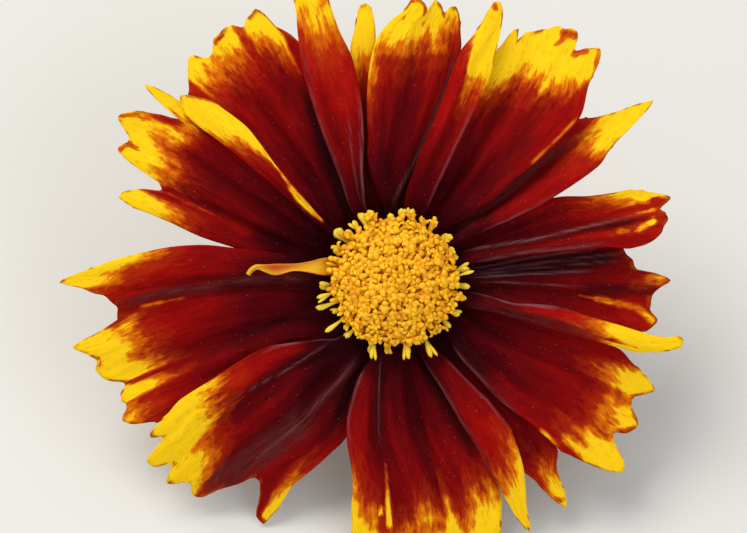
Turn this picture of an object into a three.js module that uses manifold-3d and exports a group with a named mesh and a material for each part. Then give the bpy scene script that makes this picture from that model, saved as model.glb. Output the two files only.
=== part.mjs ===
// A picked coreopsis bloom, lying on its short curved stalk with its face turned up and forward.
// Lengths are millimetres and angles are degrees. +Z is up, and the lowest point stands at z = 0.
import * as THREE from "three";
import { mergeVertices } from "three/addons/utils/BufferGeometryUtils.js";
import Module from "manifold-3d";

const wasm = await Module();
wasm.setup();

// Driving dimensions of the bloom. Its head has its own frame: u to the right, v up across the
// face, and w out of the face. It leans back by HEAD_LEAN from facing straight up.
const HEAD_LEAN = 35;
const HEAD_HEIGHT = 14.8;
const CLAW_RADIUS = 4.4;
const CLAW_WIDTH = 0.9;
const RAY_REACH = 22;
const BLADE = 0.66;
const OVER = 0.57;
const UNDER = -0.57;
const ARCH = 1.5;
const DISC_RADIUS = 5;
const DISC_BASE = 1.25;
const DISC_RISE = 2.3;
const FLORETS = 95;
const EDGE_FLORETS = 18;
const BRACTS = 8;
const STALK_RADIUS = 1.1;
const STALK_SIDES = 12;
const STALK_END = 38;

// Rows of points along a ray floret, as shares of its length. They crowd where the claw widens.
const ROWS = [0, 0.05, 0.11, 0.2, 0.36, 0.53, 0.7, 0.86, 1];

// The ray florets, clockwise from the upper left. Angles run counter-clockwise from u. claw is
// where the foot stands. cw and ccw are the two margins as [radius, angle], and end is the toothed
// end from one margin to the other as [angle, radius]. level says on which side the blade lies
// over or under its neighbour, lift how far its end curls up or sags, both as [cw, ccw], and
// folds are lengthwise ridges and grooves as [share across, half width, height].
const RAYS = [
  {
    name: "ray_01", claw: 132.4, level: [UNDER, UNDER], lift: [0.2, 0],
    folds: [[0.3, 0.16, -0.35], [0.66, 0.18, -0.45]],
    cw: [[6.6, 119], [8, 116], [10, 113.5], [16, 111], [22.5, 110.8]],
    ccw: [[6.6, 140.8], [9, 139.6], [13, 137.6], [18, 137], [22, 137.3], [24.7, 137.9]],
    end: [[111.5, 22.7], [112.6, 23.6], [114.9, 24.8], [115.8, 26.2], [117, 26.9],
      [118.9, 26.8], [120.6, 26.1], [122.3, 26.7], [126.2, 26.8], [129.8, 25.5],
      [131.9, 26.8], [134.5, 26.1]],
  },
  {
    name: "ray_02", claw: 116.8, level: [OVER, OVER], lift: [0.6, 0.6],
    folds: [[0.3, 0.34, 0.4]],
    cw: [[6.8, 110.6], [9, 107.2], [13.4, 101.4], [16.7, 100.2], [19.6, 100.5], [22.8, 102.4],
      [25.5, 103]],
    ccw: [[6.9, 121.5], [10.5, 117.8], [16, 115.3], [20.7, 113.2], [23.2, 111.4], [26.4, 109.7]],
    end: [[104, 27.2], [106.2, 28.2], [108.5, 27.4]],
  },
  {
    name: "ray_03", claw: 101.2, level: [UNDER, UNDER], lift: [0.2, 0.2],
    folds: [[0.5, 0.4, -0.2]],
    cw: [[6.6, 97.5], [12, 96.8], [18, 95.3], [22.5, 94.2]],
    ccw: [[6.6, 112.5], [9, 109.5], [12, 105.5], [18, 103], [21.3, 100.3], [23.2, 98.6]],
    end: [[94.6, 24.3], [96, 24.7], [97.4, 24.4]],
  },
  {
    name: "ray_04", claw: 85.6, level: [UNDER, OVER], lift: [0, 0.4],
    folds: [[0.24, 0.16, 0.3], [0.5, 0.18, -0.35]],
    cw: [[6.6, 80], [10.3, 78], [13.8, 75], [18, 73.6], [21.3, 74.2], [23.7, 75.4]],
    ccw: [[6.8, 98], [8.6, 101.8], [10, 102.6], [13.4, 100], [16, 98.6], [21, 94.6], [22.9, 91],
      [24.1, 87.8]],
    end: [[76.6, 24.4], [77.8, 24.7], [79.9, 24.1], [81.3, 25], [82.8, 24.1], [86.3, 24.9]],
  },
  {
    name: "ray_05", claw: 70, level: [OVER, OVER], lift: [0.6, 0.6],
    folds: [[0.68, 0.32, 0.6]],
    cw: [[6.9, 65], [10.2, 65.1], [13.8, 64.9], [18.9, 64.5], [21, 65.2]],
    ccw: [[6.8, 83], [8, 83], [10.3, 80], [13.8, 76.5], [16.6, 74.8], [20.8, 73.3], [23.5, 71.6]],
    end: [[66.4, 22.9], [68.1, 25.7], [69.1, 26.3], [70.3, 26]],
  },
  {
    name: "ray_06", claw: 53, level: [OVER, UNDER], lift: [0.5, 0.1],
    folds: [[0.34, 0.16, -0.45], [0.68, 0.16, -0.5]],
    cw: [[6.8, 44], [8.5, 41], [11.2, 39.5], [13.8, 40.2], [16.2, 40.2], [18.6, 41.4],
      [22.2, 41.7], [25.2, 45.7]],
    ccw: [[6.6, 68], [10, 67.5], [16, 67], [20, 66.5], [22.5, 66]],
    end: [[46.8, 26.5], [48.5, 27.4], [50, 26.7], [52, 25.8], [52.9, 26.7], [53.8, 27.3],
      [56.3, 26.9], [57.3, 26.8], [58.8, 25.9], [60.5, 25.4], [62.2, 24.8], [62.8, 23.9],
      [63.6, 24.8], [64.6, 24.6]],
  },
  {
    name: "ray_07", claw: 34.5, level: [OVER, UNDER], lift: [0.2, 0],
    folds: [[0.62, 0.26, -0.45]],
    cw: [[6.8, 29], [9.1, 28.8], [11.6, 27.7], [14.1, 27.3], [16.3, 27.8], [18.7, 28.5],
      [20.8, 29.4], [22.6, 31.4]],
    ccw: [[6.6, 47], [10, 45], [16, 43.5], [21, 42.5], [22.4, 40.5]],
    end: [[33, 25], [34.2, 27.2], [34.8, 27.8], [35.8, 26.7], [37.8, 24.1]],
  },
  {
    name: "ray_08", claw: 17.5, level: [OVER, UNDER], lift: [-0.2, -0.4],
    folds: [[0.42, 0.22, -0.5]],
    cw: [[6.8, 12.4], [8.6, 11.7], [12.3, 10.9], [16.8, 9.5], [19, 9.1], [21.1, 7.8]],
    ccw: [[6.6, 31.5], [9, 30.5], [12, 29.5], [16, 27], [18.8, 23.6], [21, 21.9], [22.5, 21]],
    end: [[8.1, 22.3], [9.3, 23.5], [10.8, 24.2], [12.7, 24.7], [14.2, 24.8], [15.1, 24.3],
      [16.9, 25.6], [19, 24.2]],
  },
  {
    name: "ray_09", claw: 0.8, level: [UNDER, UNDER], lift: [-0.6, -0.8],
    folds: [[0.3, 0.2, -0.3], [0.62, 0.22, -0.5]],
    cw: [[6.6, -12], [10, -12.6], [16, -13], [20, -13], [22, -12]],
    ccw: [[6.6, 15], [9, 13.5], [13, 12.5], [17, 11.5], [20.5, 9.5]],
    end: [[-11.4, 22.8], [-10.3, 23.2], [-8.7, 23.6], [-5.9, 22.8], [-3.3, 23], [-1.1, 23.7],
      [0.1, 24.4], [1.8, 23.2], [2.7, 21.7], [5, 21]],
  },
  {
    name: "ray_10", claw: 344.6 - 360, level: [OVER, OVER], lift: [0, 0],
    folds: [[0.5, 0.45, 0.5]],
    cw: [[6.8, -20], [9.6, -17.4], [14.2, -17], [18, -16.6], [22.1, -16.5], [24, -15.3]],
    ccw: [[6.8, -8], [10.6, -10], [12.3, -9.3], [14.5, -8.8], [17.5, -10.2], [20, -11],
      [23.7, -11.6], [25.3, -11.3]],
    end: [[-14.8, 24.5], [-13.9, 25.4], [-12.6, 26.1], [-11.8, 26.1]],
  },
  {
    name: "ray_11", claw: 326 - 360, level: [OVER, UNDER], lift: [-0.1, -0.6],
    folds: [[0.34, 0.16, -0.45], [0.68, 0.16, -0.4]],
    cw: [[6.8, -44], [9.3, -49.3], [12.9, -49.1], [15, -48.1], [17.5, -45.9], [20.7, -45.7]],
    ccw: [[6.6, -16.5], [9, -15.6], [16, -15], [20.9, -16.8], [23, -19.4]],
    end: [[-45.1, 21.5], [-43.3, 23.5], [-41.6, 25], [-39.4, 26.3], [-36.3, 24.2],
      [-34.9, 23.5], [-33.1, 24.6], [-31.4, 25.1], [-29.9, 24.9], [-27.9, 23.8],
      [-25.9, 23.6], [-24.1, 24.5], [-22.8, 25.1], [-20.4, 23.8]],
  },
  {
    name: "ray_12", claw: 308 - 360, level: [UNDER, UNDER], lift: [-0.7, -0.7],
    folds: [[0.5, 0.4, -0.2]],
    cw: [[6.6, -62], [9, -60], [13, -58], [20, -57], [22, -55.5]],
    ccw: [[6.6, -39.5], [9, -43], [12, -44], [16, -43.5], [19.5, -45.5], [21.9, -48.9]],
    end: [[-54.6, 22.6], [-53.4, 24.7], [-52.7, 25.2], [-51.7, 24.6], [-50.3, 23.3]],
  },
  {
    name: "ray_13", claw: 292 - 360, level: [OVER, OVER], lift: [0.3, -0.1],
    folds: [[0.35, 0.3, 0.35]],
    cw: [[6.8, -71], [10.3, -66.5], [13.4, -65.1], [16.4, -63.6], [20.2, -63.1], [23.7, -62.7]],
    ccw: [[6.8, -59], [8.1, -56], [10.7, -53.5], [13.7, -51.4], [16, -51.4], [17.9, -53.1],
      [19.8, -55], [21.8, -57.7], [23.8, -60]],
    end: [[-62.1, 24.7], [-61.3, 25]],
  },
  {
    name: "ray_14", claw: 269 - 360, level: [OVER, UNDER], lift: [-0.9, -0.1],
    folds: [[0.29, 0.15, -0.45], [0.64, 0.16, -0.45]],
    cw: [[6.8, -106], [9.5, -110.5], [11.8, -109.5], [14.1, -107.4], [16, -104.2],
      [18.1, -101.6], [20.2, -100.7], [22.6, -99.6]],
    ccw: [[6.6, -66], [10, -64.8], [14, -64], [18, -62.5], [21.5, -63.6], [23.4, -65.7]],
    end: [[-99, 23.8], [-97, 24.6], [-94.6, 24.9], [-92.8, 23.7], [-90, 24.9], [-87, 25],
      [-84.6, 23.6], [-81.5, 25.1], [-78.2, 25.3], [-75.8, 23.8], [-72.8, 25.5], [-70.3, 25.8],
      [-67.5, 24.7]],
  },
  {
    name: "ray_15", claw: 232 - 360, level: [OVER, UNDER], lift: [0.1, -2.7],
    folds: [[0.27, 0.14, -0.45], [0.6, 0.18, -0.6]],
    cw: [[6.8, -134.5], [8.4, -142], [11.1, -150.3], [12.5, -152.6], [13.9, -153], [17.9, -151.7],
      [21.5, -151], [23.6, -149.5]],
    ccw: [[6.6, -103], [9, -105], [14, -106.5], [16.6, -110.7], [19.3, -114.9], [20.4, -116.3],
      [22.8, -116.8]],
    end: [[-148, 25.4], [-147.2, 25.5], [-145.9, 24.6], [-144, 26.9], [-142.3, 26.9],
      [-140.5, 25.4], [-138.4, 26.9], [-135.3, 25.4], [-132.9, 26.1], [-131.9, 25.8],
      [-130.1, 24.4], [-126.9, 22.1], [-124.4, 21.1], [-122.2, 22.1], [-120.3, 24.3],
      [-118.1, 24.7]],
  },
  {
    name: "ray_16", claw: 187, level: [OVER, UNDER], lift: [0.4, 0],
    folds: [[0.32, 0.15, -0.5], [0.7, 0.15, -0.45]],
    cw: [[6.8, 168], [8.8, 166], [14.1, 169.5], [16.6, 169.5], [19.3, 170.9], [22.1, 173.3],
      [25.2, 176]],
    ccw: [[6.6, 229], [8.5, 221], [11, 213.5], [14, 212.5], [20, 212], [24.5, 211]],
    end: [[178.3, 27.6], [180.3, 29.4], [181.3, 27.5], [183, 25.5], [185.6, 24.5],
      [187.9, 24.6], [189.6, 26.3], [191.7, 28.8], [193.3, 27.9], [195.1, 27.1], [196.7, 27.5],
      [198.7, 27.1], [201, 25.3], [202.6, 26.3], [203.7, 26.4], [204.6, 25.9], [207.3, 27],
      [208.6, 26.5]],
  },
  {
    name: "ray_17", claw: 163.6, level: [UNDER, UNDER], lift: [0.3, 0.2],
    folds: [[0.36, 0.16, -0.4], [0.7, 0.16, -0.4]],
    cw: [[6.6, 144], [9, 142], [13, 139.7], [18, 139.5], [22, 139.6], [24.4, 139.9]],
    ccw: [[6.6, 172.5], [9, 170.5], [12, 170], [14.4, 168.3], [17.4, 167.2], [20.9, 165.2],
      [24, 164.4]],
    end: [[140.3, 26], [141, 27.4], [142, 28.2], [142.7, 26.5], [143.1, 23.9], [144.4, 25.2],
      [147, 27.5], [149.2, 28.4], [151.9, 26.6], [154.6, 27], [156.2, 25], [157.4, 22.4],
      [158.6, 22], [160.2, 23.9], [161.8, 25.3], [163.2, 25.5]],
  },
  {
    name: "ray_18", claw: 148, level: [OVER, OVER], lift: [0.6, 0.6],
    folds: [[0.5, 0.45, 0.45]],
    cw: [[7.1, 139.7], [8.5, 139], [11.2, 137], [14.2, 135.8], [17, 134.2], [18.6, 133.7],
      [20.2, 134.2], [21.9, 134.9]],
    ccw: [[7.1, 144], [9.3, 143.2], [13.2, 141.7], [18.1, 141.3], [22, 141.6], [23.5, 141.5]],
    end: [[135.3, 22.6], [137, 23.7], [139.1, 24.9], [140, 24.6]],
  },
];

const COLOURS = {
  ray: 0x6b0710,
  ligule: 0xd98a14,
  disc: 0xf4bd1c,
  innerBract: 0x6f6a2e,
  outerBract: 0x4f7a2c,
  stalk: 0x5b8a34,
};

const GOLDEN_ANGLE = Math.PI * (3 - Math.sqrt(5));
const radians = THREE.MathUtils.degToRad;
const mix = THREE.MathUtils.lerp;
const rise = THREE.MathUtils.smoothstep;

// Smooth curve through [x, y] points in rising x that never overshoots them, level past its ends.
function through(points, x) {
  const last = points.length - 1;
  if (x <= points[0][0]) return points[0][1];
  if (x >= points[last][0]) return points[last][1];
  const i = points.findIndex((point, k) => x < points[k + 1][0]);
  const slope = (k) => (points[k + 1][1] - points[k][1]) / (points[k + 1][0] - points[k][0]);
  const tangent = (k) => {
    if (k === 0 || k === last || slope(k - 1) * slope(k) <= 0) return 0;
    return (2 * slope(k - 1) * slope(k)) / (slope(k - 1) + slope(k));
  };
  const span = points[i + 1][0] - points[i][0];
  const t = (x - points[i][0]) / span;
  const left = points[i][1] + t * t * (points[i][1] - points[i + 1][1]) * (2 * t - 3);
  return left + span * t * (1 - t) * ((1 - t) * tangent(i) - t * tangent(i + 1));
}

// Closed slab between two alike grids of points, grid[column][row]. Rows run outward and columns
// counter-clockwise seen from above. A ring's last column joins its first.
function slab(upper, lower, ring = false) {
  const columns = upper.length;
  const rows = upper[0].length;
  const index = [];
  const top = (j, k) => (j % columns) * rows + k;
  const under = (j, k) => columns * rows + top(j, k);
  const quad = (a, b, c, d) => index.push(a, b, c, a, c, d);
  const strips = ring ? columns : columns - 1;
  for (let j = 0; j < strips; j += 1) {
    for (let k = 0; k < rows - 1; k += 1) {
      quad(top(j, k), top(j, k + 1), top(j + 1, k + 1), top(j + 1, k));
      quad(under(j, k), under(j + 1, k), under(j + 1, k + 1), under(j, k + 1));
    }
    quad(top(j, 0), top(j + 1, 0), under(j + 1, 0), under(j, 0));
    quad(top(j, rows - 1), under(j, rows - 1), under(j + 1, rows - 1), top(j + 1, rows - 1));
  }
  for (let k = 0; k < rows - 1 && !ring; k += 1) {
    quad(top(0, k), under(0, k), under(0, k + 1), top(0, k + 1));
    quad(top(strips, k), top(strips, k + 1), under(strips, k + 1), under(strips, k));
  }
  const geometry = new THREE.BufferGeometry().setFromPoints([...upper.flat(), ...lower.flat()]);
  geometry.setIndex(index);
  return geometry;
}

// Closed solid round rings of points from the first cap to the last, each ring counter-clockwise
// seen from the last.
function skin(rings) {
  const sides = rings[0].length;
  const middle = (ring) => ring.reduce((sum, p) => sum.add(p), new THREE.Vector3());
  const caps = [rings[0], rings[rings.length - 1]].map((ring) => middle(ring).divideScalar(sides));
  const index = [];
  const at = (i, j) => i * sides + (j % sides);
  const first = rings.length * sides;
  for (let j = 0; j < sides; j += 1) {
    for (let i = 0; i < rings.length - 1; i += 1) {
      index.push(at(i, j), at(i, j + 1), at(i + 1, j + 1), at(i, j), at(i + 1, j + 1), at(i + 1, j));
    }
    index.push(first, at(0, j + 1), at(0, j));
    index.push(first + 1, at(rings.length - 1, j), at(rings.length - 1, j + 1));
  }
  const geometry = new THREE.BufferGeometry().setFromPoints([...rings.flat(), ...caps]);
  geometry.setIndex(index);
  return geometry;
}

// A mesh with faceted shading, in the group it belongs to.
function addMesh(group, name, geometry, colour, roughness) {
  const material = new THREE.MeshStandardMaterial({ color: colour, roughness, metalness: 0 });
  material.flatShading = true;
  geometry.computeVertexNormals();
  const mesh = new THREE.Mesh(geometry, material);
  mesh.name = name;
  group.add(mesh);
}

// Lowest w that a blade's underside can have at height v on the face before it would pass
// through the surface that the bloom lies on.
function surfaceUnder(v) {
  return -(HEAD_HEIGHT + v * Math.sin(radians(HEAD_LEAN))) / Math.cos(radians(HEAD_LEAN));
}

// Height of a ray floret's middle surface, at a share f across it and at radius r.
function rayHeight(ray, f, r) {
  const s = (r - CLAW_RADIUS) / RAY_REACH;
  const arch = ARCH * Math.sin(Math.PI * Math.min(s, 1) ** 0.9) - Math.max(0, 1 - s) ** 6;
  const side = rise(f, 0.12, 0.72);
  const level = mix(ray.level[0], ray.level[1], side) * rise(r, 4.6, 5.8);
  const lift = mix(ray.lift[0], ray.lift[1], f) * s * s;
  const fade = rise(r, 6.5, 11) * (1 - 0.7 * rise(r, 17, 26));
  const relief = ray.folds.reduce((sum, [middle, width, height]) => {
    const x = Math.min(1, Math.abs(f - middle) / width);
    return sum + height * (0.5 + 0.5 * Math.cos(Math.PI * x));
  }, 0);
  return arch + level + lift + relief * fade;
}

// Columns of a ray floret: its share across and the radius where it ends. They stand at both
// margins, at each tooth and notch, and along each fold.
function rayColumns(ray) {
  const margin = (side, r) => through(ray[side], r);
  const marks = ray.end.map(([angle, r]) => [
    (angle - margin("cw", r)) / (margin("ccw", r) - margin("cw", r)), r]);
  const ends = [[0, ray.cw.at(-1)[0]], ...marks, [1, ray.ccw.at(-1)[0]]];
  const folds = ray.folds.map(([middle]) => middle)
    .filter((f) => marks.every(([mark]) => Math.abs(mark - f) > 0.03))
    .map((f) => {
      const i = ends.findIndex(([mark]) => mark > f);
      return [f, mix(ends[i - 1][1], ends[i][1], (f - ends[i - 1][0]) / (ends[i][0] - ends[i - 1][0]))];
    });
  return [...ends, ...folds].sort((a, b) => a[0] - b[0]);
}

// One ray floret: a thin blade that widens from a narrow claw, arches and ends in teeth.
function rayGeometry(ray) {
  const half = THREE.MathUtils.radToDeg(CLAW_WIDTH / 2 / CLAW_RADIUS);
  const foot = (side) => [[CLAW_RADIUS, ray.claw + side * half], [CLAW_RADIUS + 1, ray.claw + side * half]];
  const shape = { ...ray, cw: [...foot(-1), ...ray.cw], ccw: [...foot(1), ...ray.ccw] };
  const middle = ([f, end]) => ROWS.map((share) => {
    const r = mix(CLAW_RADIUS, end, share);
    const angle = radians(mix(through(shape.cw, r), through(shape.ccw, r), f));
    const v = r * Math.sin(angle);
    const w = Math.max(rayHeight(ray, f, r), surfaceUnder(v) + BLADE / 2);
    return new THREE.Vector3(r * Math.cos(angle), v, w);
  });
  const grid = rayColumns(shape).map(middle);
  const shifted = (by) => grid.map((column) => column.map((p) => p.clone().setZ(p.z + by)));
  return slab(shifted(BLADE / 2), shifted(-BLADE / 2));
}

// The small extra ligule: a narrow tongue that twists as it leaves the disc's left edge.
function liguleGeometry() {
  const spine = new THREE.CatmullRomCurve3([
    new THREE.Vector3(-5.35, 1.14, 1.6), new THREE.Vector3(-8, 1.12, 2.75),
    new THREE.Vector3(-10.5, 1.16, 3.15), new THREE.Vector3(-12, 1.12, 3.25),
    new THREE.Vector3(-12.6, 0.8, 3.15)]);
  const widths = [[0, 1.2], [0.3, 1.1], [0.6, 0.8], [0.85, 0.6], [1, 0.35]];
  const twist = [[0, 20], [0.45, -25], [1, 30]];
  const steps = 9;
  const across = [-1, -0.35, 0.35, 1];
  const place = (side, q, up) => {
    const turn = radians(through(twist, q));
    const out = (side * through(widths, q)) / 2;
    const point = spine.getPointAt(q);
    point.y += -out * Math.cos(turn) - up * Math.sin(turn);
    point.z += up * Math.cos(turn) - out * Math.sin(turn) - 0.12 * (1 - side * side);
    return point;
  };
  const grid = (up) => across.map((side) =>
    Array.from({ length: steps }, (unused, k) => place(side, k / (steps - 1), up)));
  return slab(grid(0.31), grid(-0.31));
}

// Seeded random numbers from 0 to 1, so each build gives the same bloom.
function randomSource(seed) {
  let state = seed;
  return () => {
    state = (state * 1664525 + 1013904223) % 4294967296;
    return state / 4294967296;
  };
}

function toManifold(geometry) {
  const plain = geometry.clone().deleteAttribute("normal").deleteAttribute("uv");
  const merged = mergeVertices(plain, 1e-5);
  return new wasm.Manifold(new wasm.Mesh({
    numProp: 3,
    vertProperties: new Float32Array(merged.attributes.position.array),
    triVerts: new Uint32Array(merged.index.array),
  }));
}

function fromManifold(solid) {
  const mesh = solid.getMesh();
  const geometry = new THREE.BufferGeometry();
  geometry.setAttribute("position", new THREE.BufferAttribute(mesh.vertProperties, 3));
  geometry.setIndex(new THREE.BufferAttribute(mesh.triVerts, 1));
  return geometry;
}

// One disc floret along +Z: a five-sided tube that widens to its lobes, with a short style.
function floretGeometry(length) {
  const profile = [[0, 0], [0.34, 0], [0.47, length * 0.8], [0, length]];
  return new THREE.LatheGeometry(profile.map(([r, z]) => new THREE.Vector2(r, z)), 5)
    .rotateX(Math.PI / 2);
}

// The yellow disc: a low dome thickly set with florets in a sunflower spiral, hollow below where
// it sits on the receptacle. The outermost florets lean out over the feet of the rays, and leave
// room for the small ligule on the left.
function discGeometry() {
  const random = randomSource(7);
  const dome = (r) => DISC_BASE + DISC_RISE * Math.sqrt(1 - (r / (DISC_RADIUS + 0.35)) ** 2);
  const domeSteps = 6;
  const outline = [[0, 1.25], [2.1, 1.12], [3.55, 0.65], [4.2, 0.25], [DISC_RADIUS, 0.3]];
  for (let k = domeSteps; k >= 0; k -= 1) {
    const r = (DISC_RADIUS * k) / domeSteps;
    outline.push([r, dome(r) - 0.25]);
  }
  const core = new THREE.LatheGeometry(outline.map(([r, w]) => new THREE.Vector2(r, w)), 30);
  const solids = [toManifold(core.rotateX(Math.PI / 2))];
  const plant = ({ r, w, lean, turn, length }) => {
    const aside = THREE.MathUtils.euclideanModulo(turn - radians(168) + Math.PI, 2 * Math.PI);
    const byLigule = r > 4.2 && Math.abs(aside - Math.PI) < radians(14);
    solids.push(toManifold(floretGeometry(byLigule ? 0.75 : length)
      .rotateZ(random() * Math.PI)
      .translate(0, 0, -0.3)
      .rotateY(radians(lean))
      .translate(r, 0, w)
      .rotateZ(turn)));
  };
  for (let n = 0; n < FLORETS; n += 1) {
    const share = Math.sqrt((n + 0.5) / FLORETS);
    const r = DISC_RADIUS * 0.97 * share;
    const lean = share ** 2 * 62 + (random() - 0.5) * 16;
    const length = 1.25 + 0.3 * random() + (share > 0.9 ? 0.35 : 0);
    plant({ r, w: dome(r) - 0.35, lean, turn: n * GOLDEN_ANGLE, length });
  }
  for (let n = 0; n < EDGE_FLORETS; n += 1) {
    const turn = ((n + 0.25 * random()) / EDGE_FLORETS) * 2 * Math.PI;
    plant({ r: DISC_RADIUS - 0.2, w: 1.3, lean: 80, turn, length: 1.35 + 0.3 * random() });
  }
  return fromManifold(wasm.Manifold.union(solids));
}

// A ring of bracts joined at their feet. path runs from the ring out to the tips as [radius, w],
// join is the share of it that stays whole, and open is the share of each gap between blades.
function bractGeometry({ path, join, open, power, perBract, sway, seed }) {
  const random = randomSource(seed);
  const spine = new THREE.CatmullRomCurve3(path.map(([r, w]) => new THREE.Vector3(r, 0, w)));
  const rows = 7;
  const columns = [];
  for (let bract = 0; bract < BRACTS; bract += 1) {
    const drop = (random() - 0.5) * sway;
    for (let k = 0; k < perBract; k += 1) {
      const f = k / perBract;
      const across = Math.abs(2 * f - 1) / (1 - open);
      const reach = join + (1 - join) * Math.max(0, 1 - across ** power);
      columns.push({ angle: ((bract + f) / BRACTS) * 2 * Math.PI, reach, drop, bow: 1 - across });
    }
  }
  const place = ({ angle, reach, drop, bow }, row, up) => {
    const q = (row / (rows - 1)) * reach;
    const tangent = spine.getTangentAt(q);
    const point = spine.getPointAt(q);
    const sag = drop * q * q - 0.35 * Math.max(0, bow) * Math.sin(Math.PI * q);
    point.x -= tangent.z * up;
    point.z += tangent.x * up + sag;
    return point.applyAxisAngle(new THREE.Vector3(0, 0, 1), angle);
  };
  const grid = (up) => columns.map((column) =>
    Array.from({ length: rows }, (unused, row) => place(column, row, up)));
  return slab(grid(BLADE / 2), grid(-BLADE / 2), true);
}

// The stalk from its cut end: straight along the surface, then bent up to the head, where it
// widens into the receptacle with a ledge for the rays and a low dome for the disc.
function stalkGeometry() {
  const lean = radians(HEAD_LEAN);
  const neck = 6.6;
  const axisHeight = STALK_RADIUS * Math.cos(Math.PI / STALK_SIDES);
  const bend = (HEAD_HEIGHT - neck * Math.cos(lean) - axisHeight) / (1 - Math.sin(lean));
  const bendStart = neck * Math.sin(lean) + bend * Math.cos(lean);
  const stations = [{ y: STALK_END, z: axisHeight, pitch: 0, radius: STALK_RADIUS }];
  const bendSteps = 9;
  for (let k = 0; k <= bendSteps; k += 1) {
    const pitch = (k / bendSteps) * (Math.PI / 2 - lean);
    stations.push({
      y: bendStart - bend * Math.sin(pitch),
      z: axisHeight + bend * (1 - Math.cos(pitch)),
      pitch,
      radius: STALK_RADIUS,
    });
  }
  const receptacle = [[-5.9, 1.25], [-5.2, 1.5], [-4.4, 1.95], [-3.4, 2.9], [-2.55, 4], [-1.9, 5.1],
    [-1.65, 5.25], [-1.65, 4.05], [-0.6, 3.9], [0.35, 3.3], [0.8, 2]];
  receptacle.forEach(([w, radius]) => stations.push({
    y: -w * Math.sin(lean),
    z: HEAD_HEIGHT + w * Math.cos(lean),
    pitch: Math.PI / 2 - lean,
    radius,
  }));
  return skin(stations.map(({ y, z, pitch, radius }) =>
    Array.from({ length: STALK_SIDES }, (unused, j) => {
      const angle = ((j + 0.5) / STALK_SIDES) * 2 * Math.PI;
      const up = radius * Math.sin(angle);
      const point = new THREE.Vector3(radius * Math.cos(angle), y, z);
      return point.add(new THREE.Vector3(0, up * Math.sin(pitch), up * Math.cos(pitch)));
    })));
}

const head = new THREE.Group();
head.rotation.x = radians(HEAD_LEAN);
head.position.z = HEAD_HEIGHT;
RAYS.forEach((ray) => addMesh(head, ray.name, rayGeometry(ray), COLOURS.ray, 0.6));
addMesh(head, "inner_ligule", liguleGeometry(), COLOURS.ligule, 0.6);
addMesh(head, "disc_florets", discGeometry(), COLOURS.disc, 0.7);
addMesh(head, "inner_bracts", bractGeometry({
  path: [[2.35, -5.15], [3.3, -4.1], [4.6, -3.2], [5.9, -2.45], [7.2, -2], [8.7, -1.75], [10.2, -1.9]],
  join: 0.42, open: 0.02, power: 2.2, perBract: 5, sway: 0.5, seed: 11,
}), COLOURS.innerBract, 0.6);
addMesh(head, "outer_bracts", bractGeometry({
  path: [[2, -6.5], [3.2, -5.75], [4.6, -5], [6.1, -4.55], [7.6, -4.6], [9, -5]],
  join: 0.14, open: 0.34, power: 1.5, perBract: 6, sway: 1.2, seed: 23,
}), COLOURS.outerBract, 0.65);

const flower = new THREE.Group();
flower.add(head);
addMesh(flower, "stalk", stalkGeometry(), COLOURS.stalk, 0.6);
flower.updateMatrixWorld(true);
const middle = new THREE.Box3().setFromObject(flower, true).getCenter(new THREE.Vector3());
flower.position.set(-middle.x, -middle.y, 0);

export default flower;
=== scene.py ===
"""A picked coreopsis bloom: velvety dark red rays with ragged yellow teeth, round a yellow disc.

The bloom lies on its short bent stalk with its face turned up and forward. Every length in the
classes is in millimetres and every angle in degrees. A ray floret's own shape is written in the
head's polar frame, the same as the solids' frame: radius from the disc's middle, angle
counter-clockwise from the right, and height out of the face.
"""

import logging
import math
import random
from dataclasses import dataclass, field
from enum import Enum
from functools import partial
from typing import Callable, Sequence

import bpy
from mathutils import Matrix, Vector, noise


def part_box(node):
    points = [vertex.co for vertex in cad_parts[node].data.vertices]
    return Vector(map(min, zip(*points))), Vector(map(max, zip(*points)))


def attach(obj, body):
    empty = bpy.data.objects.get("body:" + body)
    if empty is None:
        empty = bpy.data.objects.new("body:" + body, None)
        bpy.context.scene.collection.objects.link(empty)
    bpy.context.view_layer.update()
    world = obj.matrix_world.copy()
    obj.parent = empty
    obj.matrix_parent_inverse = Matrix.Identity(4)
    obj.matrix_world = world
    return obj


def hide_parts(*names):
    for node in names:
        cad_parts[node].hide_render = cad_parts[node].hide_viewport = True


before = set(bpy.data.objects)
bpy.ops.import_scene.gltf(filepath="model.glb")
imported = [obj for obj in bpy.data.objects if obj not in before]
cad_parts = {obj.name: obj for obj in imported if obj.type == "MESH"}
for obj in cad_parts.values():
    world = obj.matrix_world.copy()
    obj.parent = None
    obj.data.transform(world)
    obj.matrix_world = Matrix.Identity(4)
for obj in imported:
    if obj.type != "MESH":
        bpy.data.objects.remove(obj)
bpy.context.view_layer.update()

log = logging.getLogger("coreopsis")

MM = 0.001
BODY = "root"
GOLDEN_ANGLE = math.pi * (3 - math.sqrt(5))
# How far outside the yellow's limit a ray floret is plain red, and how far inside it plain
# yellow, in mm.
RED = 5.4
YELLOW = 3.0
# A Mix node's sockets for its factor and its two colours, and the one that gives the mixed one.
FACTOR, GROUND, PAINT, MIXED = 0, 6, 7, 2
EASED = {"interpolation_type": "SMOOTHSTEP"}

Points = Sequence[tuple[float, float]]
# A sheet as columns of rows, each an upper and a lower point.
Sheet = list[list[tuple[Vector, Vector]]]
Socket = bpy.types.NodeSocket
Span = tuple[float, float]
# A pattern's scale across and along a blade, in mm, and where in the noise it starts.
Scale = tuple[float, float, float]


class Layer(Enum):
    """Which way a ray floret's margin goes where it meets its neighbour's, in mm of height."""

    OVER = 0.57
    UNDER = -0.57


OVER, UNDER = Layer.OVER, Layer.UNDER


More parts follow.
